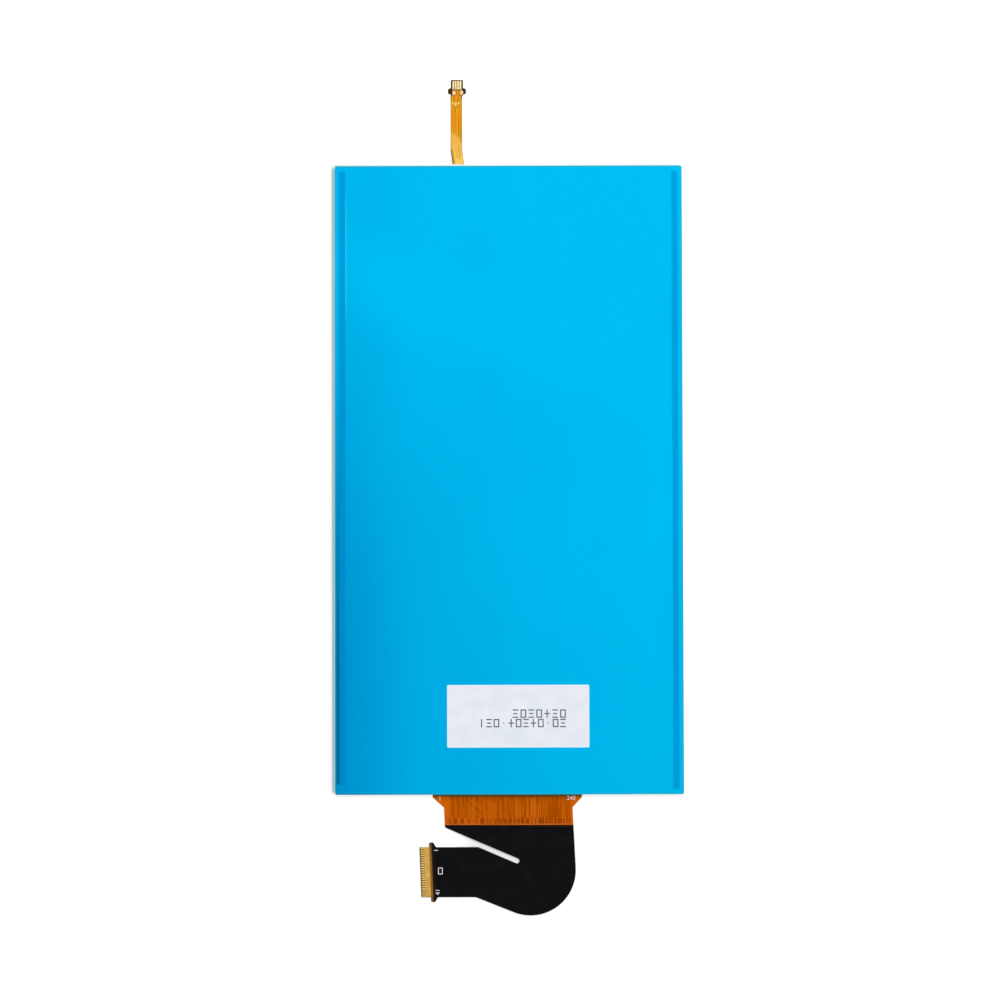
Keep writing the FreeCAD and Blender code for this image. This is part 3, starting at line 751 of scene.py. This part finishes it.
@dataclass(frozen=True)
class CellGlass(Finish):
    """Thin glass over dark layers, with rows of fine conductors on its open ledge."""

    ledge: Plan
    glass: Screen = (62, 78, 76)
    lines: Screen = (150, 140, 112)
    pitch: float = 0.24

    def dress(self, graph: Graph) -> None:
        """Tint the glass, and draw the conductors that run to the flex.

        Args:
            graph: The empty graph of the material.
        """
        x, y, _ = graph.place
        left, low, right, high = self.ledge
        row = graph.between(graph.sum("FRACT", x / self.pitch), 0.25, 0.7, 0.2)
        lines = row * graph.between(y, low, high, 0.05) * graph.between(x, left, right, 0.5)
        cloud = graph.noise(0.2, 2.0, FLAT)
        graph.surface({
            "Base Color": graph.blend(lines, self.glass, self.lines),
            "Roughness": 0.08 + cloud * 0.08,
            "Specular IOR Level": 0.5,
            "Metallic": lines * 0.6,
        })


@dataclass(frozen=True)
class GoldPlate(Finish):
    """Gold plate on a copper contact, with the slight mottle of a plated surface."""

    gold: Screen = (255, 228, 142)
    dull: Screen = (246, 204, 108)
    roughness: float = 0.42
    worn: Screen = (132, 98, 44)
    tip: Point | None = None
    lean: float = 0.0
    worn_end: Span = (0.2, 0.32)

    def dress(self, graph: Graph) -> None:
        """Mottle the plate, and dull it where it has a worn tip.

        Args:
            graph: The empty graph of the material.
        """
        grain = graph.noise(14.0, 2.0)
        plate = graph.blend(graph.step(graph.noise(1.1, 3.0), 0.3, 0.7), self.dull, self.gold)
        if self.tip is not None:
            along, _ = graph.from_tip(self.tip, self.lean)
            plate = graph.blend(graph.step(along, *self.worn_end), self.worn, plate)
        graph.surface({
            "Base Color": plate,
            "Roughness": self.roughness + (grain - 0.5) * 0.2,
            "Metallic": 0.6,
            "Normal": graph.relief(grain, 0.003),
        })


@dataclass(frozen=True)
class StudioFloor(Finish):
    """Pale floor, which shows white and keeps the object's shadow, and is open from below."""

    brightness: float = 0.8
    lift: float = 0.48
    slit_shadow_lift: float = 0.16
    slit_sides: Span = (-10.0, 5.0)
    slit_ends: Span = (-83.5, -76.5)
    slit_slope: float = 0.51

    def dress(self, graph: Graph) -> None:
        """Add the floor's own light where it is looked at, and less of it in the flex's slit, which paints a
        shadow there.

        Args:
            graph: The empty graph of the material.
        """
        paint = Vector((self.brightness, self.brightness, self.brightness, 1.0))
        matt = graph.node("ShaderNodeBsdfDiffuse", inputs={"Color": paint}).outputs[0]
        x, y, _ = graph.place
        # Painted shadow in the slit under the flex, where the floor's own light is cut back.
        slit_shadow = graph.between(x, *self.slit_sides, 7.0)
        slit_shadow = slit_shadow * graph.between(y + x * self.slit_slope, *self.slit_ends, 2.0)
        lift = self.lift - slit_shadow * (self.lift - self.slit_shadow_lift)
        glow = graph.node("ShaderNodeEmission", inputs={"Strength": lift}).outputs[0]
        bright = graph.node("ShaderNodeAddShader", inputs={0: matt, 1: glow}).outputs[0]
        top = graph.node("ShaderNodeMixShader", inputs={0: graph.seen_by(), 1: matt, 2: bright}).outputs[0]
        clear = graph.node("ShaderNodeBsdfTransparent").outputs[0]
        below = graph.node("ShaderNodeNewGeometry").outputs["Backfacing"]
        graph.show(graph.node("ShaderNodeMixShader", inputs={0: below, 1: top, 2: clear}))


def new_piece(name: str, mesh: bpy.types.Mesh, material: bpy.types.Material) -> bpy.types.Object:
    """Return a new object that rides on the module.

    Args:
        name: The piece's name.
        mesh: Its finished mesh, in place.
        material: Its material.

    Returns:
        The object.
    """
    mesh.materials.clear()
    mesh.materials.append(material)
    piece = bpy.data.objects.new(name, mesh)
    bpy.context.scene.collection.objects.link(piece)
    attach(piece, "root")
    return piece


class FlatArt:
    """Thin flat shapes laid on the module, gathered in one mesh. Sizes are in millimetres."""

    def __init__(self, carrier: bpy.types.Object, thickness: float, sink: float = 0.002) -> None:
        """Start an empty drawing on a carrier.

        Args:
            carrier: The node whose upper face carries the shapes.
            thickness: How far the shapes stand out of the face.
            sink: How far they reach into it.
        """
        self.mesh = bmesh.new()
        self.thickness = thickness
        self.sink = sink
        carried = bmesh.new()
        carried.from_mesh(carrier.data)
        self.face = BVHTree.FromBMesh(carried)
        carried.free()

    def _level(self, x: float, y: float) -> float:
        """Find the height of the carrier's upper face at a place.

        Args:
            x: The place along X, in millimetres.
            y: The place along Y, in millimetres.

        Returns:
            The height, in metres.
        """
        above = 10.0
        found = self.face.ray_cast(Vector((x, y, above)) * MM, Vector((0.0, 0.0, -1.0)))[0]
        if found is None:
            raise ValueError(f"nothing carries the shape at {x:.2f}, {y:.2f}")
        return found.z

    def _raise(self, faces: list[bmesh.types.BMFace]) -> None:
        """Lay flat faces on the carrier and give them their thickness.

        Args:
            faces: The faces, at height zero.
        """
        for vert in {vert for face in faces for vert in face.verts}:
            vert.co.z = self._level(vert.co.x / MM, vert.co.y / MM) - self.sink * MM
        grown = bmesh.ops.extrude_face_region(self.mesh, geom=faces, use_keep_orig=True)["geom"]
        upper = [item for item in grown if isinstance(item, bmesh.types.BMVert)]
        rise = Vector((0.0, 0.0, (self.thickness + self.sink) * MM))
        bmesh.ops.translate(self.mesh, verts=upper, vec=rise)

    def strip(self, points: list[Point], width: float) -> None:
        """Add a strip that follows a line.

        Args:
            points: The points of the line.
            width: The strip's width.
        """
        line = [Vector(point) for point in points]
        edge = None
        faces = []
        for here, point in enumerate(line):
            before = line[max(here - 1, 0)]
            after = line[min(here + 1, len(line) - 1)]
            heading = (after - before).normalized()
            side = Vector((-heading.y, heading.x)) * width / 2
            ends = [(point + side) * MM, (point - side) * MM]
            if edge is None:
                verts = [self.mesh.verts.new((*end, 0.0)) for end in ends]
                edge = self.mesh.edges.new(verts)
                continue
            grown = bmesh.ops.extrude_edge_only(self.mesh, edges=[edge])["geom"]
            verts = [item for item in grown if isinstance(item, bmesh.types.BMVert)]
            old_side = edge.verts[0].co - edge.verts[1].co
            if (verts[0].co - verts[1].co).dot(old_side) < 0:
                verts.reverse()
            for vert, end in zip(verts, ends):
                vert.co = (*end, 0.0)
            edge = next(item for item in grown if isinstance(item, bmesh.types.BMEdge))
            if edge.verts[0] is not verts[0]:
                edge = self.mesh.edges.get(verts)
            faces += [item for item in grown if isinstance(item, bmesh.types.BMFace)]
        self._raise(faces)

    def block(self, centre: Point, size: Point) -> None:
        """Add a rectangle with its middle and its size along X and Y."""
        reach = Vector((size[0] / 2, 0.0))
        self.strip([tuple(Vector(centre) - reach), tuple(Vector(centre) + reach)], size[1])

    def frame(self, centre: Point, size: Point, stroke: float) -> None:
        """Add an open rectangle drawn with a stroke.

        Args:
            centre: Its middle.
            size: Its outer size.
            stroke: The width of the stroke.
        """
        x, y = centre
        reach_x, reach_y = (size[0] - stroke) / 2, (size[1] - stroke) / 2
        for side in (-1, 1):
            self.block((x + side * reach_x, y), (stroke, size[1]))
            self.block((x, y + side * reach_y), (size[0] - 2 * stroke, stroke))

    def disc(self, centre: Point, radius: float, stretch: float = 1.0) -> None:
        """Add a round spot.

        Args:
            centre: Its middle.
            radius: Its radius along X.
            stretch: How many times longer it is along Y.
        """
        spot = Matrix.Translation(Vector((*centre, 0.0)) * MM) @ Matrix.Diagonal((1.0, stretch, 1.0, 1.0))
        made = bmesh.ops.create_circle(self.mesh, cap_ends=True, segments=20, radius=radius * MM, matrix=spot)
        faces = {face for vert in made["verts"] for face in vert.link_faces}
        self._raise(list(faces))

    def finish(self, name: str, material: bpy.types.Material) -> bpy.types.Object:
        """Close the drawing and return it as a piece.

        Args:
            name: The piece's name.
            material: Its material.

        Returns:
            The piece.
        """
        bmesh.ops.recalc_face_normals(self.mesh, faces=self.mesh.faces)
        mesh = bpy.data.meshes.new(name)
        self.mesh.to_mesh(mesh)
        self.mesh.free()
        return new_piece(name, mesh, material)


def numeral(name: str, text: str, height: float, place: Matrix, material: bpy.types.Material) -> None:
    """Print a plain number on the module.

    Args:
        name: The piece's name.
        text: The number.
        height: The height of its figures, in millimetres.
        place: Where its middle is and how it is turned, in metres.
        material: The ink.
    """
    letter_height = 0.7
    curve = bpy.data.curves.new(name, "FONT")
    curve.body = text
    curve.align_x = "CENTER"
    curve.align_y = "CENTER"
    curve.size = height * MM / letter_height
    curve.extrude = 0.005 * MM
    curve.resolution_u = 4
    holder = bpy.data.objects.new(name, curve)
    bpy.context.scene.collection.objects.link(holder)
    bpy.context.view_layer.update()
    mesh = bpy.data.meshes.new_from_object(holder.evaluated_get(bpy.context.evaluated_depsgraph_get()))
    bpy.data.objects.remove(holder)
    mesh.transform(place)
    new_piece(name, mesh, material)


@dataclass
class Studio:
    """The camera, lamps, world and floor. Lengths are in metres."""

    aim: Vector
    distance: float = 0.9
    tilt: float = math.radians(2.113)
    roll: float = math.radians(-0.131)
    lens: float = 154.33
    lamp_size: float = 0.8
    key_power: float = 7.2
    fill_power: float = 1.9
    room_light: float = 0.61
    wall_heights: Span = (0.55, 0.95)
    ceiling_shade: float = 0.65
    floor_reach: float = 4.0
    floor_drop: float = 0.00003

    def build(self) -> None:
        """Set up everything round the object."""
        self._camera()
        self._lamp("key_lamp", Vector((0.36, 0.52, 1.0)), self.key_power)
        self._lamp("fill_lamp", Vector((-0.8, -0.2, 0.9)), self.fill_power)
        self._world()
        self._floor()
        bpy.context.scene.view_settings.view_transform = "Standard"
        LOG.info("studio: camera, 2 lamps, world and floor")

    def _camera(self) -> None:
        """Set the camera above the module, as the photograph was taken."""
        data = bpy.data.cameras.new("camera")
        data.lens = self.lens
        data.sensor_width = 36.0
        data.clip_end = 20.0
        camera = bpy.data.objects.new("camera", data)
        turn = Euler((self.tilt, 0.0, self.roll), "XYZ")
        camera.rotation_euler = turn
        camera.location = self.aim + turn.to_matrix() @ Vector((0.0, 0.0, self.distance))
        bpy.context.scene.collection.objects.link(camera)
        bpy.context.scene.camera = camera

    def _lamp(self, name: str, offset: Vector, power: float) -> None:
        """Add a square soft lamp that faces the module.

        Args:
            name: The lamp's name.
            offset: Where it is, from the point that the camera aims at.
            power: Its power in watts.
        """
        data = bpy.data.lights.new(name, "AREA")
        data.size = self.lamp_size
        data.energy = power
        lamp = bpy.data.objects.new(name, data)
        lamp.location = self.aim + offset
        lamp.rotation_euler = (-offset).to_track_quat("-Z", "Y").to_euler()
        bpy.context.scene.collection.objects.link(lamp)

    def _world(self) -> None:
        """Make a pale room, white towards its walls and darker overhead."""
        world = bpy.data.worlds.new("room")
        bpy.context.scene.world = world
        graph = Graph(world, "ShaderNodeOutputWorld")
        direction = graph.node("ShaderNodeTexCoord").outputs["Generated"]
        height = Signal(graph, graph.node("ShaderNodeSeparateXYZ", inputs={0: direction}).outputs[2])
        seen = graph.sum("MINIMUM", graph.seen_by(), 1.0)
        walls = 1 - graph.step(height, *self.wall_heights) * self.ceiling_shade
        level = seen * walls + (1 - seen) * self.room_light
        graph.show(graph.node("ShaderNodeBackground", inputs={"Strength": level}))

    def _floor(self) -> None:
        """Lay the floor just under the module."""
        mesh = bmesh.new()
        bmesh.ops.create_grid(mesh, x_segments=1, y_segments=1, size=self.floor_reach)
        bmesh.ops.translate(mesh, verts=mesh.verts, vec=Vector((0.0, 0.0, -self.floor_drop)))
        data = bpy.data.meshes.new("floor")
        mesh.to_mesh(data)
        mesh.free()
        data.materials.append(StudioFloor("floor_paint").material())
        floor = bpy.data.objects.new("floor", data)
        bpy.context.scene.collection.objects.link(floor)


def plan_box(node: str) -> Plan:
    """Return a node's left, bottom, right and top in plan, in millimetres."""
    low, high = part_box(node)
    return (low.x / MM, low.y / MM, high.x / MM, high.y / MM)


@dataclass
class SubAssembly:
    """What every sub-assembly has: all CAD nodes by name."""

    nodes: dict[str, bpy.types.Object]

    def build(self) -> None:
        """Dress the sub-assembly's nodes and add its pieces."""
        raise NotImplementedError

    def wear(self, finish: Finish, *names: str) -> None:
        """Give some CAD nodes a finish.

        Args:
            finish: Their finish.
            names: The nodes to dress.
        """
        material = finish.material()
        for name in names:
            slots = self.nodes[name].data.materials
            slots.clear()
            slots.append(material)
        LOG.info("%s: %s", finish.name, ", ".join(names))

    def lay(self, name: str, carrier: str, finish: Finish, strips: list[Strip], rise: float = 0.003) -> None:
        """Lay a group of strips on a CAD node as one piece.

        Args:
            name: The piece's name.
            carrier: The node that carries the strips.
            finish: Their finish.
            strips: The width and the points of each strip, in millimetres.
            rise: How far they stand out of the carrier, in millimetres.
        """
        art = FlatArt(self.nodes[carrier], rise)
        for width, points in strips:
            art.strip(points, width)
        art.finish(name, finish.material())


class Mark(Enum):
    """The plain shapes that stand in a printed row."""

    BOX = "box"
    BAR = "bar"
    CROSS = "cross"
    BARS = "bars"
    SPOT = "spot"


@dataclass
class RearCover(SubAssembly):
    """The protective film, and the label on it with its plain marks."""

    print_ink: Finish
    row_height: float = 1.75
    mark_width: float = 1.2
    short_bar: float = 0.7
    stroke: float = 0.24
    corner: float = 0.3
    fine_edge: float = 0.02
    right: float = 11.72
    ink_rise: float = 0.006
    ink_room: float = 0.008

    def build(self) -> None:
        """Dress the film, lay the label and print the label's rows."""
        strips = (plan_box("left_adhesive_strip"), plan_box("right_adhesive_strip"))
        self.wear(ProtectiveFilm("blue_film", strips, plan_box("protective_film")), "protective_film")
        upper = (Mark.BOX, Mark.BARS, Mark.CROSS, Mark.BOX, Mark.BARS, Mark.BOX, Mark.BARS)
        lower = (
            Mark.BARS, Mark.BOX, Mark.SPOT, Mark.BOX, Mark.CROSS, Mark.BARS, Mark.BOX, Mark.CROSS, Mark.SPOT,
            Mark.BOX, Mark.BARS, Mark.BAR,
        )
        art = FlatArt(self._label(), self.ink_rise)
        for marks, level, pitch in ((upper, -49.24, 1.66), (lower, -51.22, 1.55)):
            for order, mark in enumerate(marks):
                self._print(art, mark, self.right - order * pitch, level)
        art.finish("label_marks", self.print_ink.material())
        LOG.info("rear cover: film, label and its plain marks")

    def _label(self) -> bpy.types.Object:
        """Lay the label as a sheet with round corners and fine edges, just thin enough to carry its ink.

        Returns:
            The label.
        """
        low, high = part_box("label_sticker")
        high.z -= self.ink_room * MM
        middle = (low + high) / 2
        sheet = bmesh.new()
        place = Matrix.Translation(middle) @ Matrix.Diagonal((*(high - low), 1.0))
        bmesh.ops.create_cube(sheet, size=1.0, matrix=place)
        upright = [edge for edge in sheet.edges if edge.verts[0].co.xy == edge.verts[1].co.xy]
        bmesh.ops.bevel(
            sheet, geom=upright, offset=self.corner * MM, offset_type="OFFSET", affect="EDGES", segments=6,
            profile=0.5, material=-1)
        upper = [edge for edge in sheet.edges if min(vert.co.z for vert in edge.verts) > middle.z]
        bmesh.ops.bevel(
            sheet, geom=upper, offset=self.fine_edge * MM, offset_type="OFFSET", affect="EDGES", segments=2,
            profile=0.5, material=-1)
        mesh = bpy.data.meshes.new("label_sheet")
        sheet.to_mesh(mesh)
        sheet.free()
        paper = LabelPaper("label_paper", plan_box("label_sticker"))
        label = new_piece("label_sheet", mesh, paper.material())
        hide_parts("label_sticker")
        return label

    def _print(self, art: FlatArt, mark: Mark, x: float, y: float) -> None:
        """Print one mark.

        Args:
            art: The drawing to add to.
            mark: The mark.
            x: The middle of the mark along X.
            y: The middle of the mark along Y.
        """
        wide, high, stroke = self.mark_width, self.row_height, self.stroke
        if mark is Mark.BOX:
            art.frame((x, y), (wide, high), stroke)
        elif mark is Mark.BAR:
            art.block((x, y), (stroke, high))
        elif mark is Mark.CROSS:
            reach = (wide + stroke) / 4
            art.block((x, y), (stroke, high))
            art.block((x - reach, y), ((wide - stroke) / 2, stroke))
            art.block((x + reach, y), ((wide - stroke) / 2, stroke))
        elif mark is Mark.BARS:
            reach = (high - stroke) / 2
            art.block((x, y + reach), (wide, stroke))
            art.block((x, y), (wide * self.short_bar, stroke))
            art.block((x, y - reach), (wide, stroke))
        elif mark is Mark.SPOT:
            art.block((x, y), (stroke, stroke))


@dataclass
class DisplayFlex(SubAssembly):
    """The display flex with its shield, contacts, stiffener, copper art and pin numbers."""

    tip: Point
    lean: float
    ink: Finish
    glow: Screen = (255, 140, 0)
    trace: float = 0.17
    fine_trace: float = 0.16
    wide_trace: float = 0.42
    pad_rise: float = 0.004
    number_rise: float = 0.004
    ink_rise: float = 0.006

    def build(self) -> None:
        """Dress the flex and lay its art."""
        self.wear(OrangeFlex("orange_coverlay", self.tip, self.lean), "display_flex")
        self.wear(BlackShield("black_shield", self.tip, self.lean), "flex_shield_film")
        self.wear(GoldPlate("outer_gold", tip=self.tip, lean=self.lean), "outer_contacts")
        self.wear(GoldPlate("inner_gold", (238, 190, 98), (214, 162, 70), 0.5), "inner_contacts")
        self.wear(PlainSheet("flex_stiffener_board", (70, 44, 22), (52, 32, 16), 0.55), "flex_stiffener")
        self._copper()
        self._numbers()
        LOG.info("display flex: coverlay, shield, contacts, copper art and pin numbers")

    def _copper(self) -> None:
        """Lay the copper that shows through the orange coverlay, and a bright line along its edge at the
        shield.
        """
        lines = [(self.trace, [(x, top), (x, low)]) for x, top, low in (
            (-9.98, -69.1, -70.8), (-9.1, -69.0, -70.8), (1.0, -67.1, -70.9), (1.95, -67.1, -70.9),
            (2.8, -67.2, -70.9), (3.22, -68.4, -70.9), (4.15, -67.1, -70.9), (7.0, -68.5, -70.9),
            (7.45, -68.5, -70.9), (6.55, -68.5, -70.9),
        )]
        lines += [(self.wide_trace, [(x, -67.0), (x, -70.9)]) for x in (5.1, 5.75)]
        lines += [(self.fine_trace, [start, end]) for start, end in (
            ((-8.0, -67.0), (-3.95, -70.75)), ((-7.35, -67.0), (-3.3, -70.75)),
            ((-4.9, -67.3), (-2.35, -69.7)), ((-4.3, -67.2), (-2.0, -69.4)),
            ((-8.4, -68.0), (-5.5, -70.75)), ((-8.35, -68.75), (-6.3, -70.7)), ((-8.3, -69.5), (-7.2, -70.6)),
        )]
        copper = CopperUnderFilm("coverlay_over_copper", (216, 110, 28), (198, 94, 10), tint=self.glow)
        self.lay("flex_copper_lines", "display_flex", copper, lines)

        top, low = -71.0, -72.3
        pads = [(width, [(x, top), (x, low)]) for x, width in (
            (-12.5, 0.7), (-11.52, 0.62), (-10.11, 0.72), (-8.73, 0.78), (-7.38, 0.66), (-5.96, 0.66),
            (-4.5, 0.6), (-3.85, 0.3), (-3.29, 0.16), (-2.87, 0.16), (0.1, 0.2), (1.11, 0.36), (1.95, 0.24),
            (2.75, 0.2),
            (3.7, 0.22), (4.85, 0.4), (5.5, 0.4), (6.35, 0.3), (7.83, 0.2), (9.75, 0.16), (10.45, 0.2),
            (11.6, 0.18), (12.15, 0.2), (12.8, 0.24), (13.35, 0.2),
        )]
        pads += [(self.fine_trace, [(start, top), (end, low)]) for start, end in (
            (-2.5, -2.2), (-2.1, -1.5), (-1.4, -0.8),
        )]
        copper = CopperUnderFilm("coverlay_over_pads", (208, 100, 30), (190, 86, 12), tint=self.glow)
        self.lay("flex_copper_pads", "display_flex", copper, pads, self.pad_rise)

        # A bright line along the coverlay's edge at the shield: squeezed-out adhesive with a painted
        # highlight on it.
        brink = [(self.fine_trace, [(-12.85, -72.42), (13.5, -72.42)])]
        copper = CopperUnderFilm("coverlay_at_shield", (218, 130, 62), (190, 96, 26), tint=self.glow)
        self.lay("flex_bright_line", "display_flex", copper, brink, self.pad_rise)

    def _numbers(self) -> None:
        """Print the pin numbers at both ends of the flex."""
        ink = self.ink.material()
        turned, upright = math.radians(90), 0.0
        for name, text, height, x, y, carrier, turn in (
            ("first_pin_number", "1", 0.9, -14.88, -77.85, "flex_shield_film", turned),
            ("last_pin_number", "41", 0.9, -14.58, -86.55, "flex_shield_film", turned),
            ("first_line_number", "1", 0.85, -14.1, -67.0, "display_flex", upright),
            ("last_line_number", "240", 0.85, 13.4, -66.95, "display_flex", upright),
        ):
            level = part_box(carrier)[1].z / MM + self.number_rise
            place = Matrix.Translation(Vector((x, y, level)) * MM) @ Matrix.Rotation(turn, 4, "Z")
            numeral(name, text, height, place, ink)
        mark = FlatArt(self.nodes["flex_shield_film"], self.ink_rise)
        mark.frame((-14.05, -82.15), (0.95, 1.4), 0.14)
        mark.finish("index_mark", ink)


@dataclass
class BacklightTail(SubAssembly):
    """The LED strip's tail with its contacts, stiffener, copper and solder."""

    glow: Screen = (255, 190, 40)
    roughness: float = 0.36
    metal_rise: float = 0.02

    def build(self) -> None:
        """Dress the tail and lay its art."""
        left, contacts_low, right, _ = plan_box("backlight_contacts")
        head_low = plan_box("backlight_stiffener")[1]
        frame_end = plan_box("backlight_frame")[3]
        slope = (frame_end + 0.15, frame_end + 5.75)
        amber = AmberFlex("amber_film", head_low, contacts_low, (left + right) / 2, slope)
        self.wear(amber, "backlight_flex")
        self.wear(GoldPlate("pale_gold", (254, 236, 178), (228, 204, 136), 0.45), "backlight_contacts")
        board = PlainSheet("tail_stiffener_board", (32, 28, 15), (24, 21, 12), 0.5, specular=0.3)
        self.wear(board, "backlight_stiffener")
        self._copper()
        self._metal()
        LOG.info("backlight tail: film, contacts, copper, vias and solder")

    def _copper(self) -> None:
        """Lay the copper and the gaps in it that show through the amber film."""
        for name, finish, colour, shade, strips in (
            ("tail_gap_lines", "amber_over_gap", (176, 104, 10), (160, 92, 10), (
                (0.14, [(-10.72, 80.9), (-10.82, 80.3), (-10.98, 79.75)]),
                (0.14, [(-9.98, 80.9), (-10.02, 80.3), (-10.2, 79.7)]),
                (0.12, [(-10.62, 78.7), (-10.7, 78.1), (-10.6, 77.6)]),
                (0.12, [(-9.98, 76.2), (-9.98, 72.8)]),
            )),
            ("tail_copper_lines", "amber_over_copper", (250, 168, 26), (242, 156, 20), (
                (0.26, [(-10.08, 82.2), (-10.12, 81.4), (-10.3, 80.9), (-10.4, 80.3), (-10.62, 79.8)]),
                (0.24, [(-11.12, 80.7), (-11.15, 79.75)]),
                (0.34, [(-10.25, 78.3), (-10.25, 72.6)]),
            )),
            ("slope_copper_lines", "slope_over_copper", (222, 156, 60), (212, 146, 56), (
                (0.16, [(-10.55, 70.0), (-10.15, 67.6)]),
                (0.24, [(-9.95, 70.2), (-9.65, 67.4)]),
            )),
        ):
            copper = CopperUnderFilm(finish, colour, shade, self.roughness, tint=self.glow)
            swept = [(width, self._sweep(points)) for width, points in strips]
            self.lay(name, "backlight_flex", copper, swept)

    def _metal(self) -> None:
        """Lay the vias and the two spots of solder."""
        gold = GoldPlate("via_gold", (255, 232, 150), (250, 214, 120), 0.4)
        tin = PlainSheet("solder", (255, 212, 170), (246, 190, 138), 0.35, 0.3)
        vias = (((-11.15, 79.42), 0.17, 1.0), ((-10.53, 79.25), 0.17, 2.0), ((-9.92, 79.42), 0.17, 1.0))
        solder = (((-10.86, 81.62), 0.36, 1.3), ((-9.3, 81.68), 0.38, 1.25))
        for name, finish, spots in (("tail_vias", gold, vias), ("tail_solder", tin, solder)):
            art = FlatArt(self.nodes["backlight_flex"], self.metal_rise)
            for centre, radius, stretch in spots:
                art.disc(centre, radius, stretch)
            art.finish(name, finish.material())

    @staticmethod
    def _sweep(points: list[Point], step: float = 0.3) -> list[Point]:
        """Return a line with points no further apart than a step, so that it follows the slope.

        Args:
            points: The corners of the line.
            step: The greatest gap, in millimetres.

        Returns:
            The finer line.
        """
        fine = [points[0]]
        for start, end in zip(points, points[1:]):
            count = max(1, math.ceil(math.dist(start, end) / step))
            for part in range(1, count + 1):
                share = part / count
                fine.append((start[0] + (end[0] - start[0]) * share, start[1] + (end[1] - start[1]) * share))
        return fine


@dataclass
class DisplayCell(SubAssembly):
    """The glass, the polarizers and the chip, seen from the display face."""

    picture: Plan = (-34.25, -60.5, 34.25, 61.3)
    conductor_reach: float = 24.0

    def build(self) -> None:
        """Dress the display face."""
        low, high = plan_box("array_glass")[1], plan_box("color_filter_glass")[1]
        ledge = (-self.conductor_reach, low, self.conductor_reach, high)
        self.wear(DisplayFace("display_face", self.picture), "front_polarizer")
        self.wear(CellGlass("cell_glass", ledge), "color_filter_glass", "array_glass")
        self.wear(PlainSheet("rear_polarizer_film", (60, 62, 66), (50, 52, 56), 0.25), "rear_polarizer")
        self.wear(PlainSheet("chip_silicon", (40, 41, 46), (30, 31, 36), 0.2, 0.3), "driver_chip")
        LOG.info("display cell: glass, polarizers and chip")


@dataclass
class Backlight(SubAssembly):
    """The frame, films, light guide, reflector, tape and LEDs."""

    def build(self) -> None:
        """Dress the backlight."""
        film_left = plan_box("protective_film")[0]
        # The reflector's last two colours are painted shade and painted cyan light from the film, on its left
        # wall.
        reflector = FramePlastic(
            "reflector", film_left, (236, 238, 240), (222, 226, 230), (182, 206, 208), (150, 210, 234))
        tape = PlainSheet("shield_tape", (16, 16, 17), (24, 24, 25), 0.6, specular=0.3)
        film = PlainSheet("optical_film", (232, 236, 238), (224, 229, 232), 0.3)
        adhesive = PlainSheet("adhesive", (18, 24, 30), (26, 34, 42), 0.5)
        self.wear(FramePlastic("frame_plastic", film_left), "backlight_frame")
        self.wear(tape, "light_shield_tape")
        self.wear(film, "upper_prism_film", "lower_prism_film", "diffuser_film")
        self.wear(PlainSheet("light_guide", (222, 232, 234), (212, 224, 228), 0.12), "light_guide_plate")
        self.wear(reflector, "reflector_film")
        self.wear(PlainSheet("led_body", (238, 228, 160), (232, 216, 130), 0.4), "leds")
        self.wear(adhesive, "left_adhesive_strip", "right_adhesive_strip")
        LOG.info("backlight: frame, films, guide, reflector, tape and LEDs")


def main() -> None:
    """Load the frame, then build and dress each part of the module in order."""
    logging.basicConfig(level=logging.INFO, format="%(name)s: %(message)s")
    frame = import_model()
    nodes = frame["nodes"]
    Studio(Vector((-1.372, -4.432, 1.7)) * MM).build()
    lean = math.radians(2.1)
    tip = (-18.25, -82.42)
    RearCover(nodes, PlainSheet("grey_ink", (76, 82, 96), (96, 102, 114), 0.6)).build()
    DisplayFlex(nodes, tip, lean, PlainSheet("white_ink", (252, 250, 246), (240, 240, 238), 0.6)).build()
    BacklightTail(nodes).build()
    DisplayCell(nodes).build()
    Backlight(nodes).build()


if __name__ == "__main__":
    main()
